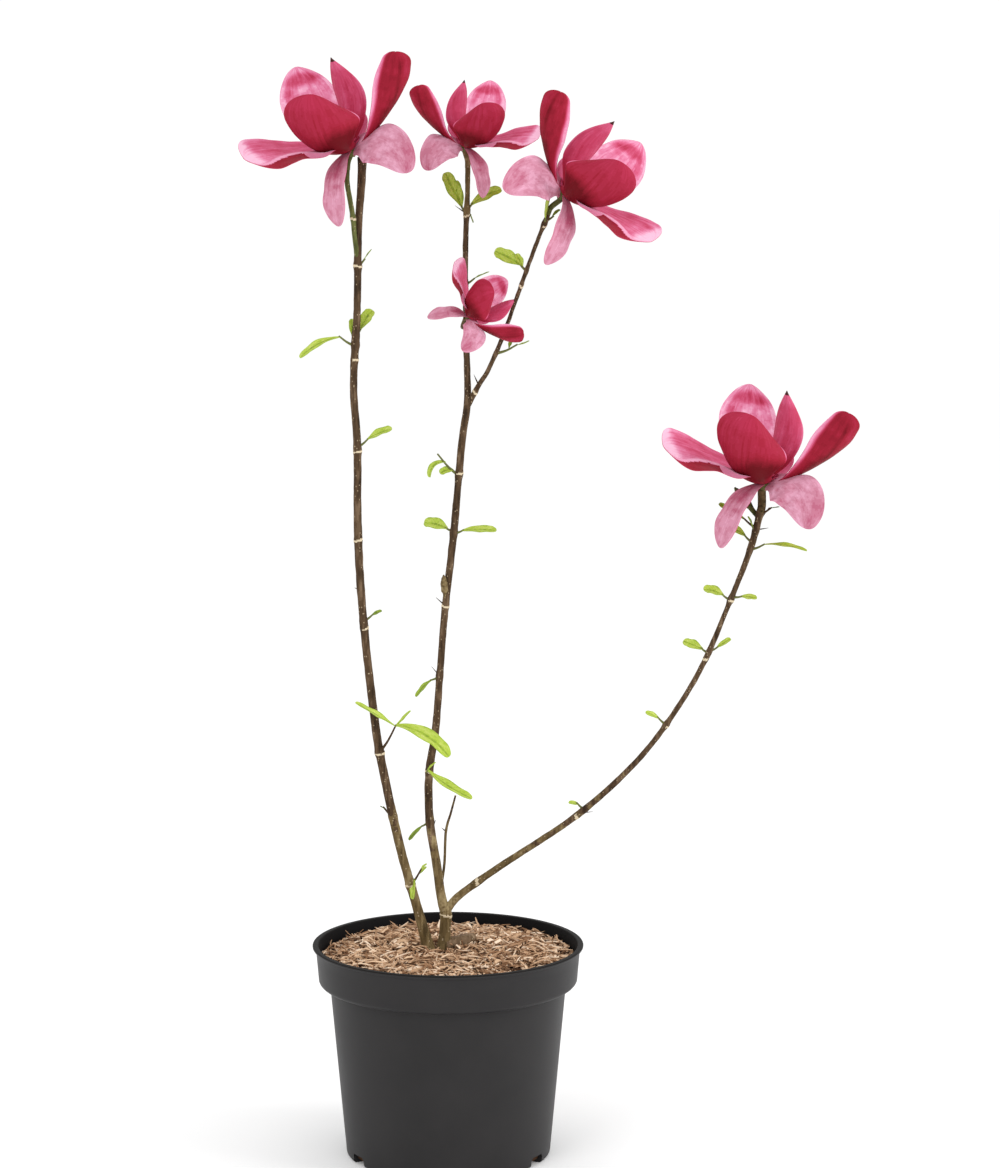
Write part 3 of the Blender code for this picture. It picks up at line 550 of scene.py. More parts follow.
def ring_faces(rings, sides):
    """Faces between rings of points, and across the first and last ring."""
    ring, side = np.meshgrid(np.arange(rings - 1), np.arange(sides), indexing="ij")
    beside = (side + 1) % sides
    around = np.stack(
        [ring * sides + side, ring * sides + beside, (ring + 1) * sides + beside,
         (ring + 1) * sides + side], axis=-1
    ).reshape(-1, 4)
    low = np.arange(sides // 2 - 1)
    foot = np.stack([low + 1, low, sides - 1 - low, sides - 2 - low], axis=-1)
    top = foot[:, ::-1] + (rings - 1) * sides
    return np.concatenate([around, foot, top])


def face_centres(points, faces):
    return points.reshape(-1, 3)[faces].mean(axis=1)


def frames_along(places):
    """Two directions across a path at each of its places, carried along without a twist."""
    tangents = np.gradient(places, axis=0)
    tangents /= np.linalg.norm(tangents, axis=1)[:, None]
    across = np.cross(tangents[0], (0.0, 1.0, 0.0))
    firsts = []
    for tangent in tangents:
        across = across - tangent * (across @ tangent)
        across = across / np.linalg.norm(across)
        firsts.append(across)
    firsts = np.array(firsts)
    return firsts, np.cross(tangents, firsts)


def tube_points(places, radii, sides, relief=None):
    """Rings of points round a path. The relief adds to each point's radius."""
    firsts, seconds = frames_along(places)
    angles = np.arange(sides) * 2 * pi / sides
    reach = np.repeat(radii[:, None], sides, axis=1)
    if relief is not None:
        reach = reach + relief
    return (
        places[:, None, :]
        + firsts[:, None, :] * (np.cos(angles)[None, :] * reach)[..., None]
        + seconds[:, None, :] * (np.sin(angles)[None, :] * reach)[..., None]
    )


def smooth(stations, spacing):
    """Places and radii on a smooth curve through the stations, a short spacing apart."""
    places = [np.array(station, float) for station in stations]
    ends = [2 * places[0] - places[1], *places, 2 * places[-1] - places[-2]]
    points = [places[0]]
    for a, b, c, d in zip(ends, ends[1:], ends[2:], ends[3:]):
        steps = max(2, int(np.linalg.norm((c - b)[:3]) / spacing))
        for step in range(1, steps + 1):
            t = step / steps
            bend = 2 * a - 5 * b + 4 * c - d
            turn = -a + 3 * b - 3 * c + d
            points.append(0.5 * (2 * b + (c - a) * t + bend * t * t + turn * t ** 3))
    points = np.array(points)
    return points[:, :3], points[:, 3] / 2


def place_on(limb, height):
    """The point on a limb's axis at a height."""
    places = PATHS[limb][0]
    return Vector(places[int(np.argmin(np.abs(places[:, 2] - height)))])


def limb_relief(name, places, radii, sides):
    """Ridges, rings and swellings in the bark, and how much each point belongs to a ring."""
    angles = np.arange(sides) * 2 * pi / sides
    along = np.concatenate([[0], np.cumsum(np.linalg.norm(np.diff(places, axis=0), axis=1))])
    spots = np.stack(
        [
            np.cos(angles)[None, :] * radii[:, None],
            np.sin(angles)[None, :] * radii[:, None],
            np.repeat(along[:, None], sides, axis=1) * 0.22,
        ],
        axis=-1,
    )
    seed = len(name)
    rough = ROUGHNESS.get(name, 1.0)
    relief = 0.00018 * grain(spots, 0.0016, seed) + 0.00010 * grain(spots, 0.0008, seed + 1)
    relief = rough * (relief + 0.00014 * grain(spots, 0.009, seed + 2))
    heights = places[:, 2]
    ring = np.zeros((len(places), sides))
    reach = RING_REACH.get(name, 1.3)
    for number, height in enumerate(SCARS.get(name, ())):
        facing = np.cos(angles - radians(70 + 47 * (number % 3))) > 1 - 2 * reach
        bent = height + 0.0009 * np.cos(angles + number)
        near = (heights[:, None] - bent[None, :]) / RING_HEIGHT
        ring = np.maximum(ring, np.exp(-near ** 2) * facing[None, :])
        relief += SWELLING * np.exp(-((heights - height) / SWELLING_HEIGHT) ** 2)[:, None]
    for shoot in SHOOTS.values():
        if shoot.limb == name:
            relief += SWELLING * np.exp(-((heights - shoot.height) / JOINT_HEIGHT) ** 2)[:, None]
    return relief + RING_RELIEF * ring - SLIMMER * radii[:, None], ring


def bark_depths(name, points):
    """How light the bark is at each face, in streaks along the limb and pale on its collars."""
    seed = len(name)
    fine = points * np.array([1.0, 1.0, 0.14])
    coarse = points * np.array([1.0, 1.0, 0.30])
    depth = 0.44 + 0.30 * grain(fine, 0.0013, seed) + 0.16 * grain(coarse, 0.0030, seed + 3)
    depth += 0.12 * grain(points, 0.013, seed + 5) + (0.30 if name == "old_stub" else 0.0)
    for limb, height, half in COLLARS:
        if limb == name:
            near = np.exp(-(((points[:, 2] - height) / half) ** 2))
            depth += near * (0.48 + 0.35 * grain(points, 0.0016, 2))
    return depth


def olive_share(name, points):
    """How olive the bark is: more towards the ground, and at the top of the middle stem."""
    heights = points[..., 2]
    low = np.clip((0.36 - heights) / 0.14, 0, 1)
    if name == "middle_stem":
        low = np.maximum(0.75 * low, np.clip((heights - 0.790) / 0.010, 0, 1))
    return low


def make_limb(name, slot, sides):
    places, radii = PATHS[name]
    relief, ring = limb_relief(name, places, radii, sides)
    points = tube_points(places, radii, sides, relief)
    faces = ring_faces(len(places), sides)
    centres = face_centres(points, faces)
    kinds = step_of(bark_depths(name, centres), WOOD_STEPS)
    if name == "green_shoot":
        kinds = kinds + 2 * WOOD_STEPS
    elif name != "old_stub":
        olive = olive_share(name, centres) + 0.30 * grain(centres, 0.004, 9) > 0.5
        kinds = kinds + np.where(olive, WOOD_STEPS, 0)
    scar = ring.ravel()[faces].mean(axis=1) + 0.22 * grain(centres, 0.0016, 4) > 0.60
    kinds = np.where(scar, 3 * WOOD_STEPS, kinds)
    spots = RANDOM.random(len(faces)) < LENTICELS
    kinds = np.where(spots, 3 * WOOD_STEPS + 1, kinds)
    gathered = Gathered()
    gathered.add(points, faces, kinds)
    gathered.piece(f"bark_{name}", WOOD, (name,))


def blade_shares(blade, along):
    """The share of a blade's full width at points along it."""
    rising = np.clip(along / blade.broad, 0, 1)
    before = blade.claw + (1 - blade.claw) * np.sin(rising * pi / 2) ** 1.3
    beyond = np.clip((along - blade.broad) / (1 - blade.broad), 0, 1)
    after = np.clip(1 - beyond * beyond, 0, 1) ** blade.point
    return np.where(along < blade.broad, before, after)


def blade_frames(blade, along):
    """The blade's direction, the side to its left and the way its inner face looks."""
    azimuth = np.radians(blade.azimuth + blade.sweep * along)
    rise = np.radians(blade.rise - blade.droop * along)
    twist = np.radians(blade.twist - blade.untwist * along)[:, None]
    zero = np.zeros_like(azimuth)
    forward = np.stack(
        [np.cos(rise) * np.cos(azimuth), np.cos(rise) * np.sin(azimuth), np.sin(rise)], axis=-1
    )
    side = np.stack([-np.sin(azimuth), np.cos(azimuth), zero], axis=-1)
    inner = np.cross(forward, side)
    return forward, side * np.cos(twist) + inner * np.sin(twist), (
        inner * np.cos(twist) - side * np.sin(twist)
    )


def midrib(blade, along):
    """Places along the blade's midrib, worked out in short steps."""
    steps = 400
    middles = (np.arange(steps) + 0.5) / steps
    moves = blade_frames(blade, middles)[0] * blade.length / steps
    places = np.concatenate([np.zeros((1, 3)), np.cumsum(moves, axis=0)])
    ends = np.arange(steps + 1) / steps
    return np.stack([np.interp(along, ends, places[:, axis]) for axis in range(3)], axis=-1)


def cross_section(across, cup, left_roll, right_roll, crease):
    """Places across a blade of half width 1: an arc with rolled margins and a creased rib."""
    fine = np.linspace(-1, 1, 401)
    margin = np.clip((np.abs(fine) - 0.72) / 0.28, 0, 1) ** 2
    roll = np.where(fine > 0, left_roll, right_roll)
    fold = np.clip(np.abs(fine) / 0.12, 0, 1) * np.sign(fine)
    angle = cup * ((1 - crease) * fine + crease * fold) + roll * margin * np.sign(fine)
    step = fine[1] - fine[0]
    halfway = (angle[1:] + angle[:-1]) / 2
    out = np.concatenate([[0], np.cumsum(np.cos(halfway)) * step])
    up = np.concatenate([[0], np.cumsum(np.sin(halfway)) * step])
    out -= np.interp(0, fine, out)
    up -= np.interp(0, fine, up)
    return np.interp(across, fine, out), np.interp(across, fine, up)


def blade_surface(blade, rows, columns, form, crease, size, seed, ridge=None):
    """A fine grid of points on a blade's middle surface, with how far along and across."""
    along = np.sin(np.linspace(0, 1, rows + 1) * pi / 2)
    across = np.linspace(-1, 1, columns + 1)
    forward, side, inner = blade_frames(blade, along)
    places = midrib(blade, along)
    half = np.maximum(NARROWEST, blade.width * blade_shares(blade, along)) / 2
    out, up = cross_section(
        across, radians(blade.cup), radians(form.left_roll), radians(form.right_roll), crease
    )
    u, v = np.meshgrid(along, across, indexing="ij")
    spots = np.stack([u * blade.length, v * blade.width / 2, 0 * u], axis=-1)
    edges = np.stack([u * blade.length, 9 * np.sign(v), 0 * u], axis=-1)
    ragged = 1 + 0.03 * grain(edges, 0.011 * size + 0.002, seed)
    for margin, place, length, share in form.fullness:
        ragged += (v * margin > 0) * share * np.exp(-(((u - place) / length) ** 2))
    wave = form.wave * np.abs(v) ** 3 * np.sin(2 * pi * form.waves * u + np.sign(v) + seed)
    crinkle = form.crinkle * grain(spots, 0.007 * size + 0.001, seed + 3) * np.sin(pi * u)
    lift = (wave * np.sin(pi * np.clip(u * 1.1, 0, 1)) + crinkle) * MILLIMETRE * size
    if ridge is not None:
        lift = lift + ridge(u, v)
    skew = (blade.skew + form.shift) * blade.width * u ** 3
    shorter = form.notch * MILLIMETRE * size * np.exp(-((v / 0.25) ** 2)) * u ** 12
    points = (
        places[:, None, :]
        + side[:, None, :] * (out[None, :] * half[:, None] * ragged + skew)[..., None]
        + inner[:, None, :] * (up[None, :] * half[:, None] + lift)[..., None]
        - forward[:, None, :] * shorter[..., None]
    )
    return points, u, v


def blade_solid(points, thickness, edge):
    """Close a grid into a thin solid. Its inner face comes first, then its outer, then rims."""
    rows, columns = points.shape[0] - 1, points.shape[1] - 1
    down = np.gradient(points, axis=0)
    right = np.gradient(points, axis=1)
    normal = np.cross(down, right)
    length = np.linalg.norm(normal, axis=-1, keepdims=True)
    normal = normal / np.maximum(length, 1e-12)
    across = np.abs(np.linspace(-1, 1, columns + 1))[None, :]
    along = np.linspace(0, 1, rows + 1)[:, None]
    thin = np.maximum(across ** 4, along ** 8)
    half = ((thickness * (1 - thin) + edge * thin) / 2)[..., None]
    front = points + normal * half
    back = points - normal * half
    index = np.arange((rows + 1) * (columns + 1)).reshape(rows + 1, columns + 1)
    quad = np.stack([index[:-1, :-1], index[1:, :-1], index[1:, 1:], index[:-1, 1:]], axis=-1)
    quad = quad.reshape(-1, 4)
    total = index.size
    edge_loop = np.concatenate([index[0, :-1], index[:-1, -1], index[-1, :0:-1], index[:0:-1, 0]])
    following = np.roll(edge_loop, -1)
    rim = np.stack([edge_loop, following, following + total, edge_loop + total], axis=-1)
    faces = np.concatenate([quad, quad[:, ::-1] + total, rim])
    return np.concatenate([front.reshape(-1, 3), back.reshape(-1, 3)]), faces, edge_loop


def face_means(values):
    """A grid's values at the middles of its faces."""
    return (values[:-1, :-1] + values[1:, :-1] + values[1:, 1:] + values[:-1, 1:]).ravel() / 4


def look_depth(look, u, v, hand, blade, seed):
    """How deep a tepal's colour is at points along and across it."""
    length = blade.length / MILLIMETRE
    width = blade.width / MILLIMETRE / 2
    place = np.stack([u * length, v * width, 0 * u + seed], axis=-1)
    drawn = place * np.array([0.12, 1.0, 1.0])
    streaks = 0.65 * grain(drawn, 1.0, seed) + 0.5 * grain(drawn, 2.6, seed + 2)
    depth = look.level + look.streak * streaks
    depth += look.mottle * (grain(place, 5.0, seed + 1) + 0.5 * grain(place, 1.8, seed + 4))
    depth += look.edge * np.clip((np.abs(v) - 0.70) / 0.30, 0, 1)
    depth += look.root * np.clip((0.25 - u) / 0.25, 0, 1)
    for mark_u, mark_v, size_u, size_v, added in look.marks:
        apart = ((u - mark_u) / size_u) ** 2 + ((v * hand - mark_v) / size_v) ** 2
        depth += added * np.exp(-(apart ** 2))
    return depth


def beyond_fold(part, u, v, hand):
    """How far beyond the rim of a margin that stands up each point lies, in half widths."""
    line = FOLDS[part]
    return v * hand - np.interp(u, [at[0] for at in line], [at[1] for at in line])


def fold_ridge(part, hand, size):
    """The rise of a standing margin over the rest of a tepal."""
    def ridge(u, v):
        apart = beyond_fold(part, u, v, hand)
        return FOLD_HEIGHT * size * np.exp(-((apart / FOLD_WIDTH) ** 2)) * np.sin(pi * u)
    return ridge


def fold_depth(part, depth, u, v, hand):
    """A tepal's depths of colour with a pale rim on its standing margin, and beyond it red deepened by
    painted shade.
    """
    apart = beyond_fold(part, u, v, hand)
    red = (apart > 0.09) & (u > FOLD_START)
    pale = 0.06 + 0.10 * np.clip(np.abs(apart) / 0.10, 0, 1)
    depth = np.where((apart > -0.10) & ~red, pale, depth)
    # Beyond the rim: the outer face's red, a little deeper as painted shade under the tepal's belly
    return np.where(red, 0.78 + 0.3 * (depth - 0.3), depth)


def placed_tepal(blade, bloom):
    """A tepal at the bloom's own size, mirrored if the bloom is."""
    size = bloom.scale * MILLIMETRE
    blade = blade._replace(length=blade.length * size, width=blade.width * size)
    if bloom.mirrored:
        blade = blade._replace(
            azimuth=180 - blade.azimuth,
            sweep=-blade.sweep,
            twist=-blade.twist,
            untwist=-blade.untwist,
            skew=-blade.skew,
        )
    return blade


def bloom_matrix(bloom):
    turn = Matrix.Rotation(radians(bloom.yaw), 4, "Z") @ Matrix.Rotation(radians(bloom.tilt), 4, "X")
    roll = Matrix.Rotation(radians(bloom.roll), 4, "Y")
    return Matrix.Translation([part / METRE for part in bloom.place]) @ turn @ roll


def moved(points, matrix):
    turn = np.array(matrix)
    return np.asarray(points) @ turn[:3, :3].T + turn[:3, 3]


def placed_form(form, bloom):
    """A tepal's form, mirrored if the bloom is."""
    if bloom.mirrored:
        form = form._replace(
            left_roll=form.right_roll,
            right_roll=form.left_roll,
            shift=-form.shift,
            fullness=tuple((-margin, *rest) for margin, *rest in form.fullness),
        )
    return form


def tepal_shades(part, u, v, loop, hand, blade, seed):
    """The shade of each face of a tepal: its inner faces, its outer faces, then its rim."""
    inner_look = INNER_LOOKS.get(part, INNER)
    middles = face_means(u), face_means(v)
    inner = look_depth(inner_look, *middles, hand, blade, seed)
    if part in FOLDS:
        inner = fold_depth(part, inner, *middles, hand)
    outer = look_depth(OUTER_LOOKS.get(part, OUTER), *middles, hand, blade, seed + 7)
    rim = np.full(len(loop), RIM_DEPTHS.get(part, inner_look.level + RIM_DEEPER))
    shades = step_of(np.concatenate([inner, outer, rim]), TEPAL_STEPS)
    if part in DUSTY:
        shades[:len(inner)] = step_of(inner, DUSTY_STEPS) + TEPAL_STEPS + 1
    if part == "narrow":
        along = np.concatenate([middles[0], middles[0], u.ravel()[loop]])
        shades = np.where(along > DARK_TIP, TEPAL_STEPS, shades)
    return shades


def add_tepal(gathered, part, bloom, seed):
    size = bloom.scale
    hand = -1 if bloom.mirrored else 1
    blade = placed_tepal(TEPALS[part], bloom)
    form = placed_form(FORMS.get(part, PLAIN), bloom)
    ridge = fold_ridge(part, hand, size) if part in FOLDS else None
    rows = round(TEPAL_ROWS * size)
    columns = round(TEPAL_COLUMNS * size)
    surface, u, v = blade_surface(blade, rows, columns, form, 0.0, size, seed, ridge)
    points, faces, loop = blade_solid(surface, TEPAL_THICKNESS * size, TEPAL_EDGE * size)
    root = np.array(direction(blade.azimuth, 0)) * TEPAL_ROOT * size
    shades = tepal_shades(part, u, v, loop, hand, blade, seed)
    gathered.add(moved(points + root, bloom_matrix(bloom)), faces, shades)


def make_bloom(name, bloom):
    gathered = Gathered()
    for number, part in enumerate(TEPALS):
        add_tepal(gathered, part, bloom, number * 13 + 3)
    gathered.piece(f"{name}_tepals", TEPAL_PAINT, (name,), 60)


def spindle(start, end, radius, rings, sides, swell):
    """A small closed spindle between two places, thickest where its swell says."""
    shares = np.linspace(0, 1, rings)
    places = np.array(start)[None, :] + shares[:, None] * (np.array(end) - np.array(start))[None, :]
    girth = np.interp(shares, [0, swell, 1], [0.45, 1.0, 0.25])
    return tube_points(places, girth * radius, sides)


def add_heart(stalks, stamens, bloom, seed):
    """The stalk's swollen end, the cone of carpels and the stamens round its foot."""
    matrix = bloom_matrix(bloom)
    size = bloom.scale
    profile = (
        (-HEART_DROP, 0.75 * HEART_RADIUS), (-0.002, 0.98 * HEART_RADIUS),
        (0.0, HEART_RADIUS), (0.003, 0.9 * HEART_RADIUS), (0.004, 0.5 * HEART_RADIUS),
    )
    places = np.array([(0, 0, height * size) for height, _ in profile])
    radii = np.array([radius * size for _, radius in profile])
    points = moved(tube_points(places, radii, 16), matrix)
    stalks.add(points, ring_faces(len(profile), 16), 2 * WOOD_STEPS + 4)
    for number in range(STAMENS + CARPELS):
        carpel = number >= STAMENS
        turn = number * SPIRAL_TURN
        share = (number - STAMENS) / CARPELS if carpel else number / STAMENS
        height = (0.008 + 0.014 * share if carpel else 0.0015 + 0.006 * share) * size
        reach = (0.0030 - 0.0014 * share if carpel else 0.0034) * size
        foot = np.array([cos(turn) * reach, sin(turn) * reach, height])
        lean = 0.9 + 0.6 * share if carpel else 0.6 + 0.9 * share
        length = (CARPEL_LENGTH if carpel else STAMEN_LENGTH) * size
        out = 0.55 * length if carpel else length / (1 + lean)
        tip = foot + np.array([cos(turn) * out, sin(turn) * out, length * lean / (1 + lean)])
        bar = moved(spindle(foot, tip, 0.0008 * size, 4, 6, 0.6), matrix)
        shade = 14 if carpel else 8 + number % 5
        stamens.add(bar, ring_faces(4, 6), shade)


def make_hearts():
    stalks = Gathered()
    stamens = Gathered()
    for number, bloom in enumerate(BLOOMS.values()):
        add_heart(stalks, stamens, bloom, number)
        foot = np.array(bloom_matrix(bloom) @ Vector((0, 0, -0.9 * HEART_DROP * bloom.scale)))
        stalk = bloom.stalk / METRE
        if bloom.limb:
            places, radii = PATHS[bloom.limb]
            stations = [(*places[-8], 2 * radii[-8]), (*places[-1], stalk), (*foot, stalk)]
        else:
            bent = np.array(SMALL_BLOOM_STALK) / METRE
            stations = [(*place, stalk) for place in (*bent, foot)]
        line, girth = smooth(stations, RING_SPACING)
        points = tube_points(line, girth * 1.02, 16)
        faces = ring_faces(len(line), 16)
        centres = face_centres(points, faces)
        bark, light = STALK_BARKS[number]
        shades = step_of(light + 0.3 * grain(centres, 0.002, number), WOOD_STEPS)
        stalks.add(points, faces, shades + bark * WOOD_STEPS)
    stalks.piece("bloom_stalks", WOOD)
    stamens.piece("stamens", TEPAL_PAINT)


def add_leaf(gathered, blade, start, tone, seed):
    size = min(1.0, blade.length / 0.03)
    surface, u, v = blade_surface(blade, LEAF_ROWS, LEAF_COLUMNS, LEAF_FORM, LEAF_CREASE, size, seed)
    points, faces, loop = blade_solid(surface, LEAF_THICKNESS, 0.6 * LEAF_THICKNESS)
    middle_u = face_means(u)
    middle_v = face_means(v)
    spots = np.stack([middle_u * 8, middle_v * 3, 0 * middle_u + seed], axis=-1)
    depth = 0.17 + tone + 0.16 * grain(spots, 1.3, seed) + 0.10 * grain(spots, 0.5, seed + 1)
    veins = np.abs(np.sin(pi * (middle_u * 7 - np.abs(middle_v) * 1.6))) > 0.80
    upper = depth + 0.10 * veins + 0.26 * (np.abs(middle_v) < 0.09)
    upper += 0.22 * np.clip((np.abs(middle_v) - 0.80) / 0.2, 0, 1)
    # The under face is painted a little darker, as painted shade where it is turned from the light
    lower = depth + 0.02 + 0.10 * veins - 0.10 * (np.abs(middle_v) < 0.12)
    shades = np.concatenate([upper, lower, np.full(len(loop), 0.45 + tone)])
    gathered.add(points + np.array(start), faces, step_of(shades, LEAF_STEPS))


def all_shoots():
    """Each shoot by its name, with its height and reach in metres."""
    shoots = {}
    for limb, rows in SHOOT_ROWS.items():
        for number, (height, azimuth, rise, reach, *leaves) in enumerate(rows):
            shoots[f"leaf_{limb.split('_')[0]}_{number + 1}"] = Shoot(
                limb, height / METRE, azimuth, rise, reach / METRE,
                [Leaf(*leaf) for leaf in leaves],
            )
    return shoots


def make_shoots():
    leaves = Gathered()
    twigs = Gathered()
    seed = 0
    for name, shoot in SHOOTS.items():
        root = place_on(shoot.limb, shoot.height)
        tip = root + direction(shoot.azimuth, shoot.rise) * shoot.reach
        bend = root.lerp(tip, 0.5) - Vector((0, 0, 0.06 * shoot.reach))
        stations = [
            (*place, share * TWIG_THICKNESS)
            for place, share in zip((root, bend, tip), TWIG_TAPER)
        ]
        line, girth = smooth(stations, 0.0008)
        shade = 3 if name in BROWN_TWIGS else 2 * WOOD_STEPS + 5
        twigs.add(tube_points(line, girth, 10), ring_faces(len(line), 10), shade)
        for number, leaf in enumerate(shoot.leaves):
            seed += 1
            blade = Blade(
                leaf.azimuth, 0, leaf.rise, leaf.droop,
                leaf.length / METRE, leaf.width / METRE,
                LEAF_FOLD + 8 * (number % 2), leaf.twist, 0, LEAF_BROAD, LEAF_CLAW, LEAF_POINT, 0.0,
            )
            add_leaf(leaves, blade, root.lerp(tip, leaf.share), LEAF_TONES.get(name, 0.0), seed)
    for limb, height, azimuth, rise, length, diameter in SPURS:
        root = np.array(place_on(limb, height))
        tip = root + np.array(direction(azimuth, rise)) * length
        twigs.add(spindle(root, tip, diameter / 2, 6, 8, 0.3), ring_faces(6, 8), 1)
    leaves.piece("leaves", LEAF_PAINT, tuple(SHOOTS))
    twigs.piece("leaf_twigs", WOOD)


def make_buds():
    gathered = Gathered()
    for number, bud in enumerate(BUDS.values()):
        root = np.array(place_on(bud.limb, bud.height))
        along = np.array(direction(bud.azimuth, bud.rise))
        shares = np.linspace(0, 1, 26)
        girth = np.interp(
            shares, [0, 0.35, 0.42, 0.5, 0.68, 0.88, 1.0], [0.5, 0.6, 0.9, 0.95, 1.0, 0.65, 0.15]
        )
        places = root[None, :] + shares[:, None] * along[None, :] * bud.reach
        spots = places[:, None, :] + np.zeros((1, 20, 1))
        relief = 0.0004 * grain(spots + np.arange(20)[None, :, None] * 0.001, 0.0015, number)
        points = tube_points(places, girth * bud.radius, 20, relief)
        faces = ring_faces(len(shares), 20)
        centres = face_centres(points, faces)
        depth = 0.55 + 0.4 * grain(centres, 0.0016, number)
        base = 2 * WOOD_STEPS if number else WOOD_STEPS
        gathered.add(points, faces, step_of(depth - 0.35 * number, WOOD_STEPS) + base)
    gathered.piece("buds", WOOD, tuple(BUDS))


def arc(middle, width, height, start, end, count):
    """Points along an ellipse's arc, between two turns in degrees."""
    turns = [radians(turn) for turn in np.linspace(start, end, count)]
    return [(middle[0] + width * cos(turn), middle[1] + height * sin(turn)) for turn in turns]


def pot_profile():
    """The pot's outline as (radius, height) points, from the inside of its floor to the foot."""
    band_foot = POT_HEIGHT - BAND_HEIGHT
    shoulder_foot = band_foot - SHOULDER
    lip_foot = POT_HEIGHT - LIP_HEIGHT
    inset = BODY_TOP_RADIUS + SHOULDER_INSET
    return [
        (0.0, FLOOR),
        (BODY_FOOT_RADIUS - WALL - FOOT_ROUND / 2, FLOOR),
        (BODY_TOP_RADIUS - WALL, shoulder_foot),
        (BAND_FOOT_RADIUS - WALL, shoulder_foot + SHOULDER),
        (BAND_TOP_RADIUS - WALL, POT_HEIGHT - 0.0008),
        (BAND_TOP_RADIUS - WALL + 0.0006, POT_HEIGHT),
        *arc((LIP_RADIUS - LIP_ROUND, POT_HEIGHT - LIP_ROUND), LIP_ROUND, LIP_ROUND, 90, 0, 7),
        (LIP_RADIUS - 0.0001, lip_foot + 0.0008),
        (LIP_RADIUS - 0.0004, lip_foot + 0.0003),
        (LIP_RADIUS - 0.0010, lip_foot),
        (BAND_TOP_RADIUS + 0.0004, lip_foot - 0.0002),
        (BAND_TOP_RADIUS - 0.0001, lip_foot - 0.0010),
        (BAND_FOOT_RADIUS + 0.0001, band_foot + 0.0015),
        *arc((inset, band_foot), BAND_FOOT_RADIUS - inset, SHOULDER_INSET - SHOULDER, 0, 90, 9),
        (BODY_TOP_RADIUS + 0.0001, shoulder_foot - 0.0002),
        (BODY_TOP_RADIUS, shoulder_foot - 0.0012),
        (BODY_FOOT_RADIUS, FOOT_ROUND),
        *arc((BODY_FOOT_RADIUS - FOOT_ROUND, FOOT_ROUND), FOOT_ROUND, -FOOT_ROUND, 18, 90, 5),
        (0.0, 0.0),
    ]


def dense(profile, longest):
    """The same outline with its long stretches cut up."""
    points = [profile[0]]
    for (r0, z0), (r1, z1) in zip(profile, profile[1:]):
        steps = max(1, int(np.hypot(r1 - r0, z1 - z0) / longest))
        points += [(r0 + (r1 - r0) * s / steps, z0 + (z1 - z0) * s / steps) for s in range(1, steps + 1)]
    return points


def make_pot():
    mesh = bpy.data.meshes.new("pot_shell")
    profile = dense(pot_profile(), 0.008)
    edges = [(i, i + 1) for i in range(len(profile) - 1)]
    mesh.from_pydata([(radius, 0.0, height) for radius, height in profile], edges, [])
    obj = bpy.data.objects.new("pot_shell", mesh)
    bpy.context.scene.collection.objects.link(obj)
    screw = obj.modifiers.new("turn", "SCREW")
    screw.axis = "Z"
    screw.steps = POT_SIDES
    screw.render_steps = POT_SIDES
    screw.use_merge_vertices = True
    screw.merge_threshold = 0.00001
    cutters = make_notches()
    cut = obj.modifiers.new("notches", "BOOLEAN")
    cut.operation = "DIFFERENCE"
    cut.object = cutters
    cut.solver = "EXACT"
    graph = bpy.context.evaluated_depsgraph_get()
    baked = bpy.data.meshes.new_from_object(obj.evaluated_get(graph))
    obj.modifiers.clear()
    obj.data = baked
    bpy.data.objects.remove(cutters)
    obj.data.materials.clear()
    obj.data.materials.append(pot_material())
    # The inside wall and the lip's top are the pot's own black plastic with painted shade: darker base
    # colours
    obj.data.materials.append(plain_material("pot inside painted shade", (0.006, 0.0055, 0.0057), 0.7, 0.08))
    obj.data.materials.append(plain_material("pot lip painted shade", (0.010, 0.009, 0.0085), 0.55, 0.06))
    # Faces that look inward get the inside's painted shade, and faces on the lip's top get the lip's
    # painted shade
    for face in obj.data.polygons:
        out = Vector((face.center.x, face.center.y, 0))
        if face.normal.dot(out) < 0 and FLOOR < face.center.z < POT_HEIGHT - 0.0004:
            face.material_index = 1
        elif face.center.z > POT_HEIGHT - 0.0009:
            face.material_index = 2
    finish_piece(obj, ("pot",), 35)


def make_notches():
    """Blocks with rounded tops that cut the drain notches up into the bottom edge."""
    gathered = Gathered()
    outline = [(-0.5, -1.0), (0.5, -1.0), (0.5, 0.70), (0.38, 1.0), (-0.38, 1.0), (-0.5, 0.70)]
    for index in range(NOTCHES):
        turn = Matrix.Rotation(2 * pi * index / NOTCHES - pi / 2, 4, "Z")
        ends = []
        for radius in (BODY_FOOT_RADIUS - NOTCH_DEPTH, BODY_FOOT_RADIUS + 0.01):
            ends += [(radius, y * NOTCH_WIDTH, z * NOTCH_HEIGHT) for y, z in outline]
        gathered.add(moved(ends, turn), ring_faces(2, len(outline)), 0)
    obj = bpy.data.objects.new("notches", gathered.mesh("notches"))
    bpy.context.scene.collection.objects.link(obj)
    return obj


def pot_material():
    """Black moulded plastic: a fine grain, faint dusty clouds and a soft gloss."""
    material = bpy.data.materials.new("pot plastic")
    material.use_nodes = True
    nodes = material.node_tree.nodes
    links = material.node_tree.links
    shader = nodes["Principled BSDF"]
    shader.inputs["Specular IOR Level"].default_value = 0.22
    clouds = noise(material, 22.0, 6.0)
    tone = nodes.new("ShaderNodeValToRGB")
    for stop, (position, colour) in zip(tone.color_ramp.elements, POT_TONES):
        stop.position = position
        stop.color = (*colour, 1.0)
    gloss = nodes.new("ShaderNodeMapRange")
    gloss.inputs["To Min"].default_value, gloss.inputs["To Max"].default_value = POT_ROUGHNESS
    links.new(clouds, tone.inputs["Fac"])
    links.new(clouds, gloss.inputs["Value"])
    links.new(tone.outputs["Color"], shader.inputs["Base Color"])
    links.new(gloss.outputs["Result"], shader.inputs["Roughness"])
    add_relief(material, noise(material, 1400.0, 2.0), 0.25, 0.0002)
    return material


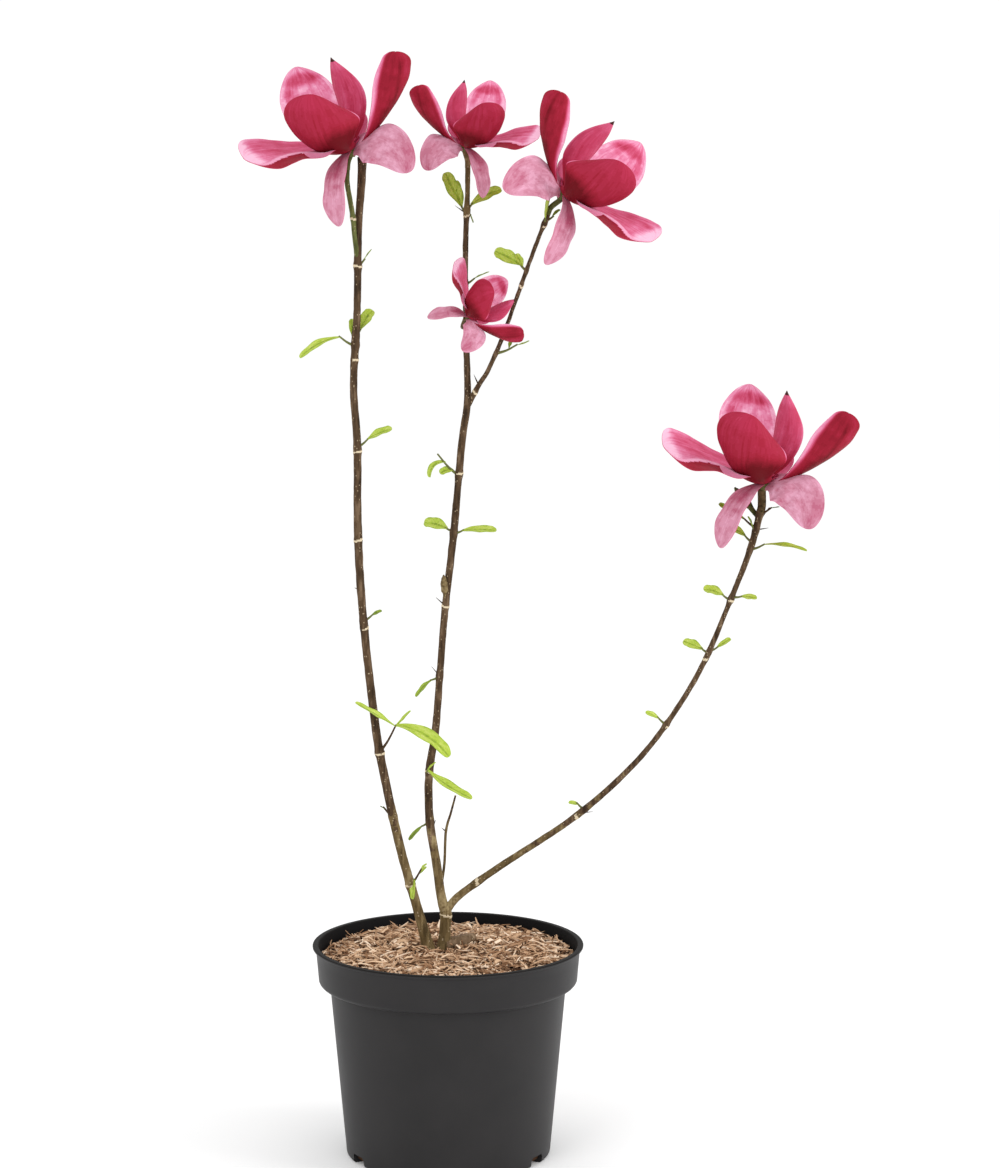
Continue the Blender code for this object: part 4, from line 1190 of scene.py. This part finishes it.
def mound(radius):
    """Height of the mulch at a distance from the pot's middle."""
    middle = (GROUND + MULCH_EDGE) / 2 + 0.0015
    halfway = (GROUND_RADIUS + MULCH_RADIUS) / 2
    return np.interp(
        radius, [0, GROUND_RADIUS, halfway, MULCH_RADIUS], [GROUND, GROUND, middle, MULCH_EDGE]
    )


def make_mulch_bed():
    """The dark ground under the chips, uneven and closed underneath."""
    rings = 46
    sides = 120
    below = (
        (MULCH_RADIUS - 0.002, MULCH_EDGE - 0.012),
        (BODY_TOP_RADIUS - WALL - 0.0005, POT_HEIGHT - BAND_HEIGHT - SHOULDER - 0.0005),
        (BODY_FOOT_RADIUS - WALL - 0.002, FLOOR + 0.0004),
    )
    radii = np.concatenate([
        np.linspace(0.0008, MULCH_RADIUS - 0.0006, rings), [radius for radius, _ in below]
    ])
    angles = np.arange(sides) * 2 * pi / sides
    x = radii[:, None] * np.cos(angles)[None, :]
    y = radii[:, None] * np.sin(angles)[None, :]
    z = np.repeat(mound(radii)[:, None], sides, axis=1) - 0.0035
    z += 0.0012 * grain(np.stack([x, y, z], axis=-1), 0.006, 3)
    z[-3:] = np.array([height for _, height in below])[:, None]
    points = np.stack([x, y, z], axis=-1)
    gathered = Gathered()
    gathered.add(points, ring_faces(rings + len(below), sides)[:, ::-1], 0)
    soil = plain_material("damp soil", SOIL_COLOUR, 0.95, 0.05, 0.002, 0.8)
    gathered.piece("mulch_bed", [soil], ("root_ball",))


def make_chip(rng):
    """One splinter of wood as four bent rings of four points, lying along its own X."""
    broad = rng.random() < BROAD_CHIPS
    length = rng.uniform(*(BROAD_LENGTHS if broad else CHIP_LENGTHS))
    width = rng.uniform(*(BROAD_WIDTHS if broad else CHIP_WIDTHS))
    depth = rng.uniform(*CHIP_DEPTHS)
    shares = np.array([-0.5, -0.17, 0.17, 0.5])
    bow = rng.normal(0, 0.0011) * (1 - 4 * shares ** 2)
    sway = rng.normal(0, 0.0012) * (1 - 4 * shares ** 2)
    girth = np.array([rng.uniform(0.2, 0.9), 1.0, rng.uniform(0.8, 1.1), rng.uniform(0.1, 0.8)])
    corners = np.array([(-0.5, -0.5), (0.5, -0.5), (0.5, 0.5), (-0.5, 0.5)])
    points = np.zeros((4, 4, 3))
    points[..., 0] = shares[:, None] * length + rng.normal(0, 0.0005, (4, 4))
    points[..., 1] = corners[None, :, 0] * width * girth[:, None] + sway[:, None]
    points[..., 2] = corners[None, :, 1] * depth * girth[:, None] + bow[:, None]
    return points.reshape(-1, 3), length


def make_chips():
    gathered = Gathered()
    faces = ring_faces(4, 4)
    limit = MULCH_RADIUS - 0.0012
    for number in range(CHIPS):
        chip, length = make_chip(RANDOM)
        layer = number / CHIPS
        radius = (MULCH_RADIUS - 0.0015) * RANDOM.random() ** 0.5
        angle = RANDOM.uniform(0, 2 * pi)
        heading = RANDOM.uniform(0, 2 * pi)
        spot = np.array([radius * cos(angle), radius * sin(angle)])
        reach = np.array([cos(heading), sin(heading)]) * length / 2
        tilt = RANDOM.normal(0, 0.20)
        if max(np.linalg.norm(spot + reach), np.linalg.norm(spot - reach)) > limit:
            heading = angle + pi / 2 + RANDOM.normal(0, 0.2)
            shrink = min(1.0, 1.9 * np.sqrt(max(limit ** 2 - radius ** 2, 1e-7)) / length)
            chip[:, 0] *= shrink
        if RANDOM.random() < STANDING_CHIPS:
            tilt = RANDOM.uniform(0.5, 0.95)
            chip[:, 0] *= 0.7
            length *= 0.7
        near = np.exp(-((np.linalg.norm(spot - STEM_FOOT) / 0.022) ** 2))
        heaped = HEAP * np.clip(radius / 0.05, 0, 1) * np.clip(0.45 + 0.9 * sin(angle), 0, 1)
        height = float(mound(radius)) - 0.0040 + (0.0050 - 0.003 * near) * layer + heaped * layer
        height += abs(sin(tilt)) * length * 0.30
        turn = Matrix.Translation((*spot, height)) @ Matrix.Rotation(heading, 4, "Z")
        turn = turn @ Matrix.Rotation(tilt, 4, "Y") @ Matrix.Rotation(RANDOM.normal(0, 0.55), 4, "X")
        # Chips lower in the pile are painted darker, as painted shade in the gaps under the upper chips;
        # chips near the stems' feet are darker as well
        tone = RANDOM.normal(0.19 + 0.46 * layer - 0.35 * near, 0.29)
        gathered.add(moved(chip, turn), faces, step_of(np.clip(tone, 0, 1), CHIP_STEPS))
    gathered.piece("wood_chips", CHIP_PAINT, (), 30)


def make_stage():
    bpy.ops.mesh.primitive_plane_add(size=40.0)
    floor = bpy.context.object
    floor.name = "floor"
    floor.data.materials.append(plain_material("floor", (0.975, 0.975, 0.975), 0.95, 0.0))
    world = bpy.data.worlds.new("studio")
    world.use_nodes = True
    world.node_tree.nodes["Background"].inputs["Color"].default_value = (1.0, 1.0, 1.0, 1.0)
    world.node_tree.nodes["Background"].inputs["Strength"].default_value = WORLD_LIGHT
    bpy.context.scene.world = world
    bpy.context.scene.view_settings.view_transform = "Standard"


def add_light(name, place, target, size, power):
    light = bpy.data.lights.new(name, "AREA")
    light.size = size
    light.energy = power
    lamp = bpy.data.objects.new(name, light)
    lamp.location = place
    lamp.rotation_euler = (Vector(target) - Vector(place)).to_track_quat("-Z", "Y").to_euler()
    bpy.context.scene.collection.objects.link(lamp)


def make_camera():
    data = bpy.data.cameras.new("camera")
    data.sensor_width = SENSOR
    data.lens = LENS
    data.clip_start = 0.1
    data.clip_end = 100.0
    camera = bpy.data.objects.new("camera", data)
    camera.location = CAMERA_PLACE
    camera.rotation_euler = (radians(90 - CAMERA_PITCH), 0.0, 0.0)
    bpy.context.scene.collection.objects.link(camera)
    bpy.context.scene.camera = camera


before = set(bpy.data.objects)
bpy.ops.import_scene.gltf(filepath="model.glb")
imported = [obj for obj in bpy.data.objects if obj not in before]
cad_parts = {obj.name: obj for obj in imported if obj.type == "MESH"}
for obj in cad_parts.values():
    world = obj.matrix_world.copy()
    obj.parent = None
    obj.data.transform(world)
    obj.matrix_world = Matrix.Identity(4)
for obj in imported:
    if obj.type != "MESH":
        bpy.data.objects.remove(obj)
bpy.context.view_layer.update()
RANDOM = np.random.default_rng(SEED)
PATHS = {name: smooth(np.array(stations) / METRE, RING_SPACING) for name, stations in LIMBS.items()}
SHOOTS = all_shoots()
WOOD = [
    *shade_range("brown bark", BROWN_SHADES, WOOD_STEPS, 0.70, 0.08, 0.0010, 0.6),
    *shade_range("olive bark", OLIVE_SHADES, WOOD_STEPS, 0.65, 0.08, 0.0010, 0.5),
    *shade_range("green bark", GREEN_SHADES, WOOD_STEPS, 0.50, 0.12, 0.0010, 0.3),
    plain_material("ring scar", SCAR_COLOUR, 0.85, 0.1, 0.0008, 0.5),
    plain_material("lenticel", LENTICEL_COLOUR, 0.90, 0.1, 0.0005, 0.4),
]
TEPAL_PAINT = [
    *shade_range("tepal", TEPAL_SHADES, TEPAL_STEPS, 0.50, 0.06, 0.0012, 0.25),
    plain_material("tepal tip", (0.06, 0.016, 0.014), 0.7, 0.1),
    *shade_range("dusty tepal", DUSTY_SHADES, DUSTY_STEPS, 0.55, 0.05, 0.0012, 0.35),
]
LEAF_PAINT = shade_range("leaf", LEAF_SHADES, LEAF_STEPS, 0.45, 0.2, 0.0010, 0.3)
CHIP_PAINT = shade_range("chip", CHIP_SHADES, CHIP_STEPS, 0.85, 0.1, 0.0008, 0.6)

make_camera()
make_stage()
add_light("key", (-1.6, -2.6, 2.6), (0.05, 0, 0.5), 1.6, 24)
add_light("side", (2.4, -0.8, 1.2), (0.05, 0, 0.4), 1.2, 24)
make_pot()
make_mulch_bed()
make_chips()
for limb_name in LIMBS:
    make_limb(limb_name, *LIMB_LOOKS.get(limb_name, ("bark", LIMB_SIDES)))
for bloom_name, bloom_at in BLOOMS.items():
    make_bloom(bloom_name, bloom_at)
make_hearts()
make_shoots()
make_buds()
